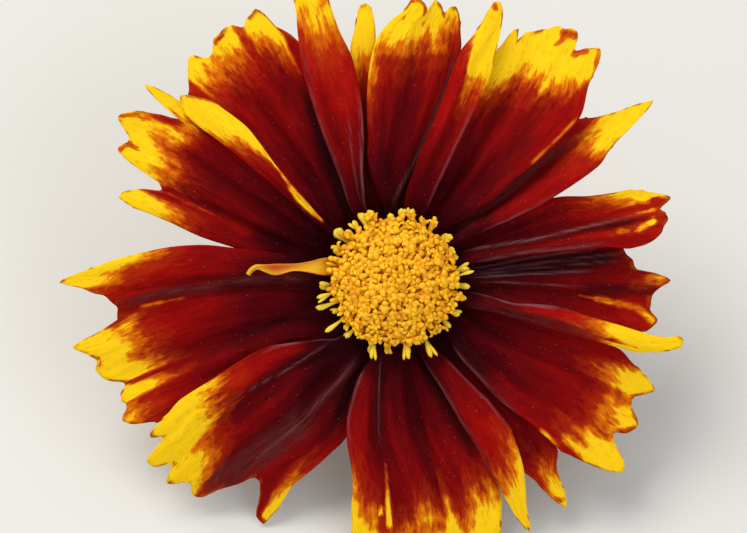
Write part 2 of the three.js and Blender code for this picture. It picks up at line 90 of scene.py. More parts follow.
def linear_colour(hex_code: str) -> tuple[float, float, float, float]:
    """Turn an sRGB hex colour into the linear colour that a shader wants.

    Args:
        hex_code: Six hex digits with a leading hash.

    Returns:
        Linear red, green and blue, and an alpha of one.
    """
    channels = [int(hex_code[i : i + 2], 16) / 255 for i in (1, 3, 5)]
    linear = [c / 12.92 if c <= 0.04045 else ((c + 0.055) / 1.055) ** 2.4 for c in channels]
    return (linear[0], linear[1], linear[2], 1.0)


def rise(x: float, low: float, high: float) -> float:
    """Ease from 0 at low to 1 at high."""
    t = min(1.0, max(0.0, (x - low) / (high - low)))
    return t * t * (3 - 2 * t)


def mix(a: float, b: float, t: float) -> float:
    """Blend a into b by t."""
    return a + (b - a) * t


def along(points: Points, x: float) -> float:
    """Read a broken line at x.

    Args:
        points: Corners as (x, y) in rising x.
        x: Where to read it. Past its ends it stays level.

    Returns:
        The line's y.
    """
    if x <= points[0][0]:
        return points[0][1]
    for (x0, y0), (x1, y1) in zip(points, points[1:]):
        if x < x1:
            return mix(y0, y1, (x - x0) / (x1 - x0))
    return points[-1][1]


def through(points: Points, x: float) -> float:
    """Read a smooth curve through points that never overshoots them.

    Args:
        points: Points of the curve as (x, y) in rising x.
        x: Where to read it. Past its ends it stays level.

    Returns:
        The curve's y.
    """
    last = len(points) - 1
    if x <= points[0][0]:
        return points[0][1]
    if x >= points[last][0]:
        return points[last][1]
    i = next(k for k in range(last) if x < points[k + 1][0])

    def slope(k: int) -> float:
        """Steepness between two neighbouring points."""
        return (points[k + 1][1] - points[k][1]) / (points[k + 1][0] - points[k][0])

    def tangent(k: int) -> float:
        """Steepness at a point, level where the curve turns.

        Args:
            k: The point's number.

        Returns:
            The curve's slope there.
        """
        if k in (0, last) or slope(k - 1) * slope(k) <= 0:
            return 0.0
        return 2 * slope(k - 1) * slope(k) / (slope(k - 1) + slope(k))

    span = points[i + 1][0] - points[i][0]
    t = (x - points[i][0]) / span
    left = points[i][1] + t * t * (points[i][1] - points[i + 1][1]) * (2 * t - 3)
    return left + span * t * (1 - t) * ((1 - t) * tangent(i) - t * tangent(i + 1))


@dataclass(frozen=True)
class Head:
    """Where the flower head sits: u runs right, v up across the face and w out of it.

    The stalk's solid gives the place: the head's middle is straight above its axis line, at
    a height over the table and a distance from the stalk's cut end.
    """

    lean: float = 35.0
    height: float = 14.8
    stalk_end: float = 38.0

    def origin(self) -> Vector:
        """Give the head's middle in the row's frame, in mm."""
        low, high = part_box("stalk")
        return Vector(((low[0] + high[0]) / 2 / MM, high[1] / MM - self.stalk_end, self.height))

    def matrix(self) -> Matrix:
        """Give the turn and shift from (u, v, w) in mm to the row's frame in metres."""
        turn = Matrix.Rotation(math.radians(self.lean), 4, "X")
        return Matrix.Scale(MM, 4) @ Matrix.Translation(self.origin()) @ turn

    def floor_under(self, v: float) -> float:
        """Give the lowest w that stays above the surface at height v on the face."""
        lean = math.radians(self.lean)
        return -(self.height + v * math.sin(lean)) / math.cos(lean)


# ---------------------------------------------------------------------------------------------
# Meshes and materials
# ---------------------------------------------------------------------------------------------


@dataclass
class MeshDraft:
    """Vertices, faces and per-vertex values of a mesh that is still being drawn up.

    sharp holds the numbers of the faces that are shaded flat.
    """

    vertices: list[Vector] = field(default_factory=list)
    faces: list[tuple[int, ...]] = field(default_factory=list)
    sharp: set[int] = field(default_factory=set)
    values: dict[str, list[float]] = field(default_factory=dict)
    uvs: list[tuple[float, float]] = field(default_factory=list)

    def slab(self, sheet: Sheet, ring: bool = False) -> None:
        """Add a closed sheet, whose upper side's values and places its underside takes too.

        Args:
            sheet: Its points. Columns run counter-clockwise, rows outward.
            ring: Whether the last column joins the first.
        """
        columns, rows = len(sheet), len(sheet[0])
        start = len(self.vertices)
        for side in range(2):
            self.vertices += [pair[side] for column in sheet for pair in column]
        self.values = {key: [*column, *column] for key, column in self.values.items()}
        self.uvs = [*self.uvs, *self.uvs]
        strips = columns if ring else columns - 1

        def upper(j: int, k: int) -> int:
            """Index of an upper point."""
            return start + (j % columns) * rows + k

        def lower(j: int, k: int) -> int:
            """Index of a lower point."""
            return upper(j, k) + columns * rows

        for j in range(strips):
            n = j + 1
            for k in range(rows - 1):
                m = k + 1
                self.faces.append((upper(j, k), upper(j, m), upper(n, m), upper(n, k)))
                self.faces.append((lower(j, k), lower(n, k), lower(n, m), lower(j, m)))
        first_flat = len(self.faces)
        end = rows - 1
        for j in range(strips):
            n = j + 1
            self.faces.append((upper(j, 0), upper(n, 0), lower(n, 0), lower(j, 0)))
            self.faces.append((upper(j, end), lower(j, end), lower(n, end), upper(n, end)))
        if not ring:
            side = strips
            for k in range(rows - 1):
                m = k + 1
                self.faces.append((upper(0, k), lower(0, k), lower(0, m), upper(0, m)))
                self.faces.append((upper(side, k), upper(side, m), lower(side, m), lower(side, k)))
        self.sharp.update(range(first_flat, len(self.faces)))

    def tube(self, rings: Sequence[Sequence[Vector]]) -> None:
        """Add a closed skin over rings of points.

        Args:
            rings: Its rings, each counter-clockwise seen from the last.
        """
        start, sides, count = len(self.vertices), len(rings[0]), len(rings)
        self.vertices += [p for ring in rings for p in ring]
        for ring in (rings[0], rings[-1]):
            self.vertices.append(sum(ring, Vector()) / sides)
        last = start + (count - 1) * sides
        low = last + sides
        high = low + 1
        for j in range(sides):
            n = (j + 1) % sides
            for a in range(start, last, sides):
                b = a + sides
                self.faces.append((a + j, a + n, b + n, b + j))
            self.faces.append((low, start + n, start + j))
            self.faces.append((high, last + j, last + n))

    def note(self, name: str, value: float, count: int = 1) -> None:
        """Give the next vertices a value under a name."""
        self.values.setdefault(name, []).extend([value] * count)

    def piece(self, name: str, node: str, slot: str, material: bpy.types.Material,
              place: Matrix) -> bpy.types.Object:
        """Make the mesh object that stands for a node of the solids.

        Args:
            name: The new piece's name.
            node: The node that it replaces.
            slot: The record's material slot. Not used.
            material: Its finish.
            place: Turn and shift from the draft's mm to the row's frame in metres.

        Returns:
            The new object.
        """
        mesh = bpy.data.meshes.new(name)
        mesh.from_pydata([place @ v for v in self.vertices], [], self.faces)
        for index, polygon in enumerate(mesh.polygons):
            polygon.use_smooth = index not in self.sharp
        for key, values in self.values.items():
            layer = mesh.attributes.new(key, "FLOAT", "POINT")
            layer.data.foreach_set("value", values)
        if self.uvs:
            layer = mesh.uv_layers.new(name="blade_mm")
            for loop in mesh.loops:
                layer.data[loop.index].uv = self.uvs[loop.vertex_index]
        mesh.materials.append(material)
        obj = add_object(name, mesh)
        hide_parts(node)
        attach(obj, BODY)
        return obj


def add_object(name: str, data: bpy.types.ID) -> bpy.types.Object:
    """Make an object and put it in the scene.

    Args:
        name: Its name.
        data: Its mesh, light or camera.

    Returns:
        The new object.
    """
    obj = bpy.data.objects.new(name, data)
    bpy.context.scene.collection.objects.link(obj)
    return obj


def add_node(material: bpy.types.Material, kind: str,
             inputs: dict[str | int, object] | None = None, out: str | int = 0,
             **settings: object) -> Socket:
    """Add a shader node with its settings and its incoming links.

    Args:
        material: The material that gets the node.
        kind: The node's type name after "ShaderNode".
        inputs: Names or numbers of input sockets, each with the socket that feeds it, a value,
            or an sRGB hex colour.
        out: The output to hand back.
        settings: The node's own settings.

    Returns:
        The chosen output socket.
    """
    tree = material.node_tree
    node = tree.nodes.new("ShaderNode" + kind)
    for key, value in settings.items():
        setattr(node, key, value)
    for key, value in (inputs or {}).items():
        if isinstance(value, Socket):
            tree.links.new(value, node.inputs[key])
            continue
        node.inputs[key].default_value = linear_colour(value) if isinstance(value, str) else value
    return node.outputs[out]


def set_stops(ramp: Socket, stops: Sequence[tuple[float, str]]) -> Socket:
    """Set a colour ramp's stops.

    Args:
        ramp: The ramp's output.
        stops: Positions with sRGB hex colours.

    Returns:
        The same output.
    """
    elements = ramp.node.color_ramp.elements
    while len(elements) < len(stops):
        elements.new(1.0)
    for element, (position, colour) in zip(elements, stops):
        element.position = position
        element.color = linear_colour(colour)
    return ramp


@dataclass(frozen=True)
class Fade:
    """How an effect follows a value: least of it at start, and most of it from full on."""

    start: float
    full: float
    most: float = 1.0
    least: float = 0.0

    def over(self, value: Socket) -> dict[str, object]:
        """Give the inputs that make a MapRange node follow a value in this way."""
        return {"Value": value, "From Min": self.start, "From Max": self.full,
                "To Min": self.least, "To Max": self.most}


@dataclass(frozen=True)
class Finish:
    """A surface finish that makes its own procedural material.

    relief is how deep its pattern is, in mm. An IOR of 1.4 is that of living plant skin.
    """

    name: str
    roughness: float = 0.6
    ior: float = 1.4
    gloss: float = 0.5
    sheen: float = 0.0
    sheen_tint: str = "#ffffff"
    relief: float = 0.1
    grain_layers: float = 2.0
    grain_roughness: float = 0.6

    def start(self, *keys: str) -> tuple[bpy.types.Material, Callable[..., Socket],
                                         dict[str, Socket]]:
        """Make the material, with its constants on the shader's own sockets.

        Args:
            keys: Names of the per-vertex values that it reads.

        Returns:
            The material, add_node bound to it, and each value's socket by its name.
        """
        material = bpy.data.materials.new(self.name)
        material.use_nodes = True
        sockets = material.node_tree.nodes["Principled BSDF"].inputs
        sockets["Roughness"].default_value = self.roughness
        sockets["IOR"].default_value = self.ior
        sockets["Specular IOR Level"].default_value = self.gloss
        sockets["Sheen Weight"].default_value = self.sheen
        sockets["Sheen Tint"].default_value = linear_colour(self.sheen_tint)
        add = partial(add_node, material)
        return material, add, {key: add("Attribute", out="Fac", attribute_name=key) for key in keys}

    def finish(self, material: bpy.types.Material, colour: Socket | str,
               coats: Sequence[tuple[Socket, Socket | str]] = (),
               height: Socket | None = None) -> bpy.types.Material:
        """Lay coats of paint over the ground colour, and join it and the relief to the shader.

        Args:
            material: The material.
            colour: Its ground colour.
            coats: How much of each coat shows, with its colour, from the lowest to the highest.
            height: Its relief, if it has any.

        Returns:
            The finished material.
        """
        for amount, paint in coats:
            colour = add_node(material, "Mix", {FACTOR: amount, GROUND: colour, PAINT: paint},
                              MIXED, data_type="RGBA")
        sockets = material.node_tree.nodes["Principled BSDF"].inputs
        material.node_tree.links.new(colour, sockets["Base Color"])
        if height:
            bump = add_node(material, "Bump", {"Strength": 1.0, "Distance": self.relief * MM,
                                               "Height": height})
            material.node_tree.links.new(bump, sockets["Normal"])
        return material

    def grain(self, add: Callable[..., Socket], scale: Scale) -> Socket:
        """Make noise that is drawn out along a blade.

        Args:
            add: add_node bound to the material.
            scale: Its scale across and along the blade, and where in the noise it starts.

        Returns:
            The noise, about 0.3 to 0.7.
        """
        across, run, shift = scale
        place = add("Mapping", {"Vector": add("UVMap", uv_map="blade_mm"),
                                "Scale": (1 / across, 1 / run, 1.0),
                                "Location": (shift, shift, 0.0)})
        return add("TexNoise", {"Vector": place, "Scale": 1.0, "Detail": self.grain_layers,
                                "Roughness": self.grain_roughness}, "Fac")


@dataclass(frozen=True)
class VelvetPetal(Finish):
    """Ray floret skin: a living epidermis of tiny domed cells over fine parallel veins.

    The domed cells make it matt and velvety, near black at the foot and blood red further out.
    Its pleats carry painted shade, a painted highlight along their ridges and a painted
    grey-purple sheen on their flanks. The yellow runs in along the veins.
    """

    name: str = "velvet_petal"
    roughness: float = 0.62
    gloss: float = 0.03
    sheen: float = 0.008
    sheen_tint: str = "#c05060"
    relief: float = 0.12
    # Real veins stand about 0.45 mm apart and real cells are 0.03 mm across. Both are drawn
    # coarser, at 0.85 mm and 0.22 mm, so that they show.
    veins: Scale = (0.85, 2.8, 3.0)
    hairs: Scale = (0.22, 2.2, 11.0)
    blotches: Scale = (2.2, 4.5, 23.0)
    mottling: Scale = (0.36, 0.9, 31.0)
    specks_per_mm: float = 2.6

    reds: tuple[tuple[float, str], ...] = (
        (0.0, "#2c0207"), (0.12, "#3d0308"), (0.3, "#5a0409"), (0.5, "#740608"), (0.72, "#900906"),
        (0.9, "#a51a07"))
    # lit_red is a painted highlight. deep_red is painted shade in the dips and also the real dark
    # of the hairs and the mottling. The three after it are the pleats' painted shade, painted
    # highlight and painted grey-purple sheen.
    lit_red: str = "#b3100a"
    deep_red: str = "#1f0106"
    crease_shade: str = "#250508"
    gleam: str = "#85585c"
    bloom: str = "#57201f"
    ember: str = "#a82e06"
    orange: str = "#d56a08"
    yellow: str = "#f6c615"
    tooth: str = "#a03c0a"
    reverse: str = "#b07818"
    speck: str = "#b8606a"

    # The reds lighten with the distance from the head's middle, and unevenly by the blotches.
    outward: Fade = Fade(5.0, 27.0)
    unevenness: float = 0.5
    # A painted highlight lightens the margins and the ridges beyond the foot, and painted shade
    # darkens the dips between the ridges. The dark hairs and mottling are the skin's own.
    beyond_foot: Fade = Fade(9.0, 17.0)
    lit_margin: Fade = Fade(1.3, 0.1, most=0.4)
    lit_crest: Fade = Fade(0.2, -1.2, most=0.32)
    painted_dip_shade: Fade = Fade(0.0, 1.5, most=0.4)
    dark_hairs: Fade = Fade(0.55, 0.3, most=0.22)
    dark_mottling: Fade = Fade(0.55, 0.3, most=0.16)
    # How the hairs break up the pleats' painted sheen and painted highlight.
    painted_sheen_streaks: Fade = Fade(0.3, 0.6, least=0.1)
    # How far each pattern pushes the yellow's limit to and fro, in mm.
    vein_push: float = 3.6
    mottle_push: float = 3.2
    hair_push: float = 1.6
    # Where each colour of the yellow end sets in, in mm from its limit.
    ember_from: Fade = Fade(-4.2, -0.5, most=0.75)
    orange_from: Fade = Fade(-1.9, -0.1, most=0.9)
    yellow_from: Fade = Fade(-0.4, 1.0)
    orange_flecks: Fade = Fade(0.52, 0.74, most=0.3)
    tooth_rim: Fade = Fade(0.6, 0.15, most=0.9)
    worn_veins: Fade = Fade(0.46, 0.6)
    reverse_veins: Fade = Fade(0.3, 0.7, most=0.75)
    speck_share: Fade = Fade(0.5, 1.0, most=0.5)
    speck_size: Fade = Fade(0.17, 0.06)

    def build(self) -> bpy.types.Material:
        """Make the petal's material.

        Returns:
            The material.
        """
        m, add, read = self.start("gold", "crisp", "glow", "reach", "margin", "left", "valley",
                                  "shade", "gleam", "bloom", "reverse")
        veins, hairs, blotches, mottling = (
            self.grain(add, scale)
            for scale in (self.veins, self.hairs, self.blotches, self.mottling))

        tone = add("MapRange", self.outward.over(read["reach"]))
        uneven = add("Math", {0: blotches, 1: self.unevenness, 2: -self.unevenness / 2},
                     operation="MULTIPLY_ADD")
        for part in (uneven, read["glow"]):
            tone = add("Math", {0: tone, 1: part}, operation="ADD")
        red = set_stops(add("ValToRGB", {0: tone}), self.reds)
        beyond = add("MapRange", self.beyond_foot.over(read["reach"]), **EASED)
        coats = []
        # Painted highlight on the margins and ridges, painted shade in the dips, and the real dark
        # of the hairs and the mottling.
        for fade, value in ((self.lit_margin, read["margin"]), (self.lit_crest, read["valley"])):
            lit = add("MapRange", fade.over(value), **EASED)
            coats.append((add("Math", {0: lit, 1: beyond}, operation="MULTIPLY"), self.lit_red))
        for fade, value in ((self.painted_dip_shade, read["valley"]), (self.dark_hairs, hairs),
                            (self.dark_mottling, mottling)):
            coats.append((add("MapRange", fade.over(value), **EASED), self.deep_red))

        # The pleats' painted shade, then their painted grey-purple sheen and painted highlight,
        # broken up by the hairs.
        streaky = add("MapRange", self.painted_sheen_streaks.over(hairs), **EASED)
        coats.append((read["shade"], self.crease_shade))
        for key, paint in (("bloom", self.bloom), ("gleam", self.gleam)):
            coats.append((add("Math", {0: streaky, 1: read[key]}, operation="MULTIPLY"), paint))

        # Each pattern's mean is one half, so half of the pushes is taken off first.
        pushes = ((veins, self.vein_push), (mottling, self.mottle_push), (hairs, self.hair_push))
        jagged = -0.5 * (self.vein_push + self.mottle_push + self.hair_push)
        for pattern, push in pushes:
            jagged = add("Math", {0: pattern, 1: push, 2: jagged}, operation="MULTIPLY_ADD")
        gold = add("Math", {0: jagged, 1: read["crisp"], 2: read["gold"]}, operation="MULTIPLY_ADD")
        flecks = add("MapRange", self.orange_flecks.over(mottling), **EASED)
        yellow = add("Mix", {FACTOR: flecks, GROUND: self.yellow, PAINT: self.orange},
                     MIXED, data_type="RGBA")
        for fade, paint in ((self.ember_from, self.ember), (self.orange_from, self.orange),
                            (self.yellow_from, yellow)):
            coats.append((add("MapRange", fade.over(gold), **EASED), paint))

        spots = add("TexVoronoi", {"Vector": add("UVMap", uv_map="blade_mm"),
                                   "Scale": self.specks_per_mm}).node
        some = add("SeparateColor", {0: spots.outputs["Color"]})
        some = add("MapRange", self.speck_share.over(some), **EASED)
        worn = add("MapRange", self.worn_veins.over(veins), **EASED)
        for fade, value, limit, paint in (
                (self.tooth_rim, read["left"], worn, self.tooth),
                (self.reverse_veins, veins, read["reverse"], self.reverse),
                (self.speck_size, spots.outputs["Distance"], some, self.speck)):
            amount = add("MapRange", fade.over(value), **EASED)
            coats.append((add("Math", {0: amount, 1: limit}, operation="MULTIPLY"), paint))
        relief = add("Math", {0: hairs, 1: 0.5, 2: veins}, operation="MULTIPLY_ADD")
        return self.finish(m, red, coats, relief)


@dataclass(frozen=True)
class WaxyFloret(Finish):
    """Disc floret skin: smooth, fleshy and waxy, so it is bright with a soft shine."""

    name: str = "waxy_floret"
    roughness: float = 0.45
    gloss: float = 0.3
    light: str = "#fdc31e"
    deep: str = "#efa90f"
    shadow: str = "#e49a14"
    anther: str = "#d88a14"
    pale: str = "#ecd03a"
    # How far out on a floret its deep and its light yellow begin.
    deep_from: float = 0.45
    light_from: float = 0.85
    # Ripe and rusty florets have a tone above nought, and young ones below.
    ripe: Fade = Fade(0.0, 0.6)
    rusty: Fade = Fade(0.5, 0.9, most=0.6)
    young: Fade = Fade(-0.2, -1.0, most=0.7)
    # Pollen grains are 0.03 mm across. They are drawn at 0.125 mm so that they show.
    pollen: float = 0.125
    relief: float = 0.03

    def build(self) -> bpy.types.Material:
        """Make the florets' material, with painted shadow at each floret's foot that lightens to a
        light yellow at its tip.

        Returns:
            The material.
        """
        m, add, read = self.start("tip", "tone")
        # Painted shadow at each floret's foot, where its neighbours shade it, deep yellow above it
        # and light yellow at its tip.
        stops = ((0.0, self.shadow), (self.deep_from, self.deep), (self.light_from, self.light))
        colour = set_stops(add("ValToRGB", {0: read["tip"]}), stops)
        coats = [(add("MapRange", fade.over(read["tone"])), paint) for fade, paint in
                 ((self.ripe, self.deep), (self.rusty, self.anther), (self.young, self.pale))]
        pollen = add("TexNoise", {"Vector": add("TexCoord", out="Object"),
                                  "Scale": 1 / (self.pollen * MM), "Detail": 1.0}, "Fac")
        return self.finish(m, colour, coats, pollen)


@dataclass(frozen=True)
class LigulePetal(Finish):
    """The small ligule's skin: thin and yellow, flushed red-orange along its middle."""

    name: str = "ligule_petal"
    roughness: float = 0.5
    gloss: float = 0.3
    yellow: str = "#e6b014"
    flush: str = "#d04010"
    # Its veins stand about 0.25 mm apart.
    veins: Scale = (0.25, 1.6, 0.0)
    flushed_veins: Fade = Fade(0.2, 0.5, least=0.75)

    def build(self) -> bpy.types.Material:
        """Make the ligule's material.

        Returns:
            The material.
        """
        m, add, read = self.start("flush")
        veins = self.grain(add, self.veins)
        amount = add("MapRange", self.flushed_veins.over(veins), **EASED)
        amount = add("Math", {0: amount, 1: read["flush"]}, operation="MULTIPLY")
        return self.finish(m, self.yellow, [(amount, self.flush)], veins)


@dataclass(frozen=True)
class LeafySkin(Finish):
    """Stem or bract skin: a waxy cuticle over fine lengthwise ribs."""

    name: str = "leafy_skin"
    roughness: float = 0.5
    gloss: float = 0.35
    body: str = "#5b8a30"
    dark: str = "#3c641e"
    edge: str = "#9aa552"
    # Ribs stand about 0.3 mm apart on a bract and on the stem.
    ribs: Scale = (0.3, 4.0, 0.0)
    mottling: Scale = (1.5, 5.0, 9.0)
    dark_mottling: Fade = Fade(0.35, 0.65, most=0.4)
    # Between these values of the ribs the skin turns from dark to its own colour.
    rib_flanks: Span = (0.32, 0.62)
    relief: float = 0.12

    def build(self) -> bpy.types.Material:
        """Make the skin, darker between its ribs and paler at its edges.

        Returns:
            The material.
        """
        m, add, read = self.start("edge")
        ribs, mottling = (self.grain(add, scale) for scale in (self.ribs, self.mottling))
        stops = tuple(zip(self.rib_flanks, (self.dark, self.body)))
        colour = set_stops(add("ValToRGB", {0: ribs}), stops)
        shade = add("MapRange", self.dark_mottling.over(mottling), **EASED)
        return self.finish(m, colour, [(shade, self.dark), (read["edge"], self.edge)], ribs)


@dataclass(frozen=True)
class PaleTable(Finish):
    """The table: matt laminate, pale and even, with a barely visible grain."""

    name: str = "pale_laminate"
    roughness: float = 0.75
    gloss: float = 0.2
    light: str = "#dddbd6"
    dark: str = "#d3d1cc"
    clouds_per_metre: float = 18.0
    cloud_layers: float = 4.0

    def build(self) -> bpy.types.Material:
        """Make the table's material.

        Returns:
            The material.
        """
        m, add, _ = self.start()
        clouds = add("TexNoise", {"Scale": self.clouds_per_metre, "Detail": self.cloud_layers},
                     "Fac")
        stops = ((0.3, self.dark), (0.7, self.light))
        return self.finish(m, set_stops(add("ValToRGB", {0: clouds}), stops))


# ---------------------------------------------------------------------------------------------
# Ray florets
# ---------------------------------------------------------------------------------------------


@dataclass(frozen=True)
class Fold:
    """A lengthwise ridge or groove of a ray floret: share across, half width and height."""

    share: float
    width: float
    height: float

    def relief(self, f: float) -> float:
        """Give its height at a share f across the blade."""
        x = min(1.0, abs(f - self.share) / self.width)
        return self.height * (0.5 + 0.5 * math.cos(math.pi * x))


@dataclass(frozen=True)
class Pleat:
    """A pleat along a ray floret: its line as (radius, angle) and its half width in mm.

    shade says how much painted shade darkens its flanks, gleam how bright the painted highlight
    along its ridge is, bloom how much painted grey-purple sheen its flanks have, and height how
    far it stands up in mm. It fades in and out over the radii of fade_in and fade_out, counted
    from its ends.
    """

    line: Points
    width: float
    shade: float = 0.8
    gleam: float = 0.6
    bloom: float = 0.0
    height: float = 0.15
    gleam_width: float = 0.09
    fade_in: Span = (-1.0, 1.5)
    fade_out: Span = (-2.0, 1.5)
    foot: float = 0.4

    def ends(self, r: float) -> float:
        """Give how fully it is there at a radius, fading at both its ends."""
        inner, outer = r - self.line[0][0], r - self.line[-1][0]
        return rise(inner, *self.fade_in) * (1 - rise(outer, *self.fade_out))

    def aside(self, angle: float, r: float) -> float:
        """Give the distance from its line in mm."""
        return abs(angle - through(self.line, r)) * math.radians(1) * r

    def paint(self, angle: float, r: float) -> tuple[float, float, float]:
        """Give its paint at a place on the blade.

        Args:
            angle: Angle of the place.
            r: Its radius.

        Returns:
            Its painted shade, painted highlight and painted sheen there.
        """
        aside, ends = self.aside(angle, r), self.ends(r)
        flank = ends * (1 - rise(aside, 0.3 * self.width, self.width))
        line = ends * (1 - rise(aside, 0.1 * self.gleam_width, 1.3 * self.gleam_width))
        return self.shade * flank, self.gleam * line, self.bloom * flank

    def ridge(self, angle: float, r: float) -> float:
        """Give how far it stands up at a place."""
        slope = rise(self.aside(angle, r), 0.0, self.width + self.foot)
        return self.height * self.ends(r) * (1 - slope)


@dataclass(frozen=True)
class Streak:
    """A streak of colour between two (angle, radius) places, with its half width in mm.

    gain is how far it carries the yellow, in mm. Below nought it is a red streak in the yellow.
    """

    start: Span
    end: Span
    width: float
    gain: float
    halo: float = 0.15

    def gold(self, angle: float, r: float) -> float:
        """Give its gain at a place on the blade.

        Args:
            angle: Angle of the place.
            r: Its radius.

        Returns:
            How much nearer to the yellow the place is, in mm.
        """
        scale = math.radians(1) * r
        first, last = (Vector((place[0] * scale, place[1])) for place in (self.start, self.end))
        here = Vector((angle * scale, r)) - first
        run = last - first
        t = min(1.0, max(0.0, here.dot(run) / max(run.length_squared, 0.01)))
        aside = (here - run * t).length
        return self.gain * (1 - rise(aside, 0.3 * self.width, 1.2 * self.width + self.halo))


def streaks(*rows: tuple[float, float, float, float, float, float]) -> tuple[Streak, ...]:
    """Make streaks from rows of start angle and radius, end angle and radius, width and gain."""
    return tuple(Streak(row[:2], row[2:4], *row[4:]) for row in rows)


@dataclass(frozen=True)
class RayFloret:
    """One ray floret: a thin blade that widens from a narrow claw, arches and ends in teeth.

    claw is the claw's angle, and level and lift say for the clockwise margin and the other how
    they meet their neighbours and how far they rise towards the end. The margins are (radius,
    angle) points, and the end runs from the clockwise margin to the other in (angle, radius)
    points. gold is the inner limit of the yellow in the same way, and blend says how many times
    wider than usual the yellow melts into the red. A glow above nought makes its red lighter,
    and so does a blush, but only along its line.
    """

    name: str
    claw: float
    level: tuple[Layer, Layer]
    lift: Span
    folds: tuple[Fold, ...]
    cw: Points
    ccw: Points
    end: Points
    gold: Points
    pleats: tuple[Pleat, ...] = ()
    streaks: tuple[Streak, ...] = ()
    blushes: tuple[Streak, ...] = ()
    blend: float = 1.0
    glow: float = 0.0

    # The claw, by which it stands on the head, and the radius to which it is narrow where it
    # lies under its neighbour.
    claw_radius: float = 4.4
    claw_width: float = 0.9
    narrow_to: float = 5.4
    # Its length and how high it arches, and over which shares across and radii its margins part.
    reach: float = 22.0
    arch: float = 1.5
    part_across: Span = (0.12, 0.72)
    part_outward: Span = (4.6, 5.8)
    # The radii over which its folds come in and partly go out again.
    folds_in: Span = (6.5, 11.0)
    folds_out: Span = (17.0, 26.0)
    folds_lost: float = 0.7
    # Slow waves and the furrows between its veins: their gaps, the furrows' length, and heights.
    wave_gap: float = 4.5
    wave_height: float = 0.2
    furrow_gap: float = 0.75
    furrow_length: float = 8.0
    furrow_height: float = 0.16
    # What depth of a furrow and of a fold the skin reads as one whole valley.
    furrow_unit: float = 0.14
    fold_unit: float = 0.4
    # Its thickness, and the share of it that the margins and the end lose.
    thickness: float = 0.34
    thinning: float = 0.6
    # How far its end is nibbled, how many nibbles it has in a mm, and how near the margins.
    ragged: float = 0.3
    nibbles: float = 1.4
    whole_margin: float = 1.8
    column_gap: float = 0.2
    rows: int = 60
    row_power: float = 0.92
    seed_step: float = 17.3

    def height(self, f: float, r: float) -> float:
        """Give the middle surface's height.

        Args:
            f: Share across the blade, 0 at its clockwise margin.
            r: Radius.

        Returns:
            The height out of the face.
        """
        s = (r - self.claw_radius) / self.reach
        arch = self.arch * math.sin(math.pi * min(s, 1.0) ** 0.9) - max(0.0, 1 - s) ** 6
        level = mix(self.level[0].value, self.level[1].value, rise(f, *self.part_across))
        level *= rise(r, *self.part_outward)
        lift = mix(*self.lift, f) * s * s
        fade = rise(r, *self.folds_in) * (1 - self.folds_lost * rise(r, *self.folds_out))
        return arch + level + lift + self.folded(f) * fade

    def folded(self, f: float) -> float:
        """Give the height of its folds at a share f across the blade."""
        return sum(fold.relief(f) for fold in self.folds)

    def margins(self) -> tuple[Points, Points]:
        """Give both margins with the claw's foot added, where a lower margin widens at once.

        Returns:
            The clockwise margin and the other.
        """
        half = math.degrees(self.claw_width / 2 / self.claw_radius)
        whole = []
        for side, margin, level in ((-1, self.cw, self.level[0]), (1, self.ccw, self.level[1])):
            foot = [(self.claw_radius, self.claw + side * half)]
            if level is UNDER:
                foot.append((self.narrow_to, margin[0][1]))
            whole.append([*foot, *margin])
        return whole[0], whole[1]

    def outline(self, cw: Points, ccw: Points) -> Points:
        """Give the toothed end from one margin to the other.

        Args:
            cw: The clockwise margin.
            ccw: The other.

        Returns:
            Marks as (share across, radius).
        """
        marks = []
        for angle, r in self.end:
            start = through(cw, r)
            marks.append(((angle - start) / (through(ccw, r) - start), r))
        return [(0.0, cw[-1][0]), *marks, (1.0, ccw[-1][0])]

    def breadth(self, cw: Points, ccw: Points) -> float:
        """Give the blade's greatest width in mm, outside its foot and inside its teeth."""
        return max(math.radians(through(ccw, r) - through(cw, r)) * r for r in range(7, 22))

    def shares(self, marks: Points, breadth: float) -> list[float]:
        """Give the columns' shares across: one at each mark and more between them.

        Args:
            marks: The end's marks.
            breadth: The blade's width in mm.

        Returns:
            The shares, from 0 to 1.
        """
        shares = []
        for (f0, _), (f1, _) in zip(marks, marks[1:]):
            count = max(1, round((f1 - f0) * breadth / self.column_gap))
            shares += [mix(f0, f1, k / count) for k in range(count)]
        return [*shares, 1.0]

    def paint(self, angle: float, r: float, left: float) -> dict[str, float]:
        """Give the values that the skin reads.

        Args:
            angle: Angle of the place.
            r: Its radius.
            left: How much of the blade is left to its end, in mm.

        Returns:
            Each value by its name.
        """
        gold = min(max(r - along(self.gold, angle), -RED * self.blend), YELLOW)
        gold = gold / self.blend if gold < 0 else gold
        runs = [0.0, *(streak.gold(angle, r) for streak in self.streaks)]
        # Each pleat's painted shade, painted highlight and painted grey-purple sheen; the strongest
        # of each counts.
        layers = [pleat.paint(angle, r) for pleat in self.pleats] or [(0.0, 0.0, 0.0)]
        shade, gleam, bloom = (max(layer[k] for layer in layers) for k in range(3))
        return {
            "gold": gold + max(runs) + min(runs),
            "crisp": self.blend**-0.6,
            "shade": shade,
            "gleam": gleam,
            "bloom": bloom,
            "glow": self.glow + sum(blush.gold(angle, r) for blush in self.blushes),
            "left": left,
            "reach": r,
        }

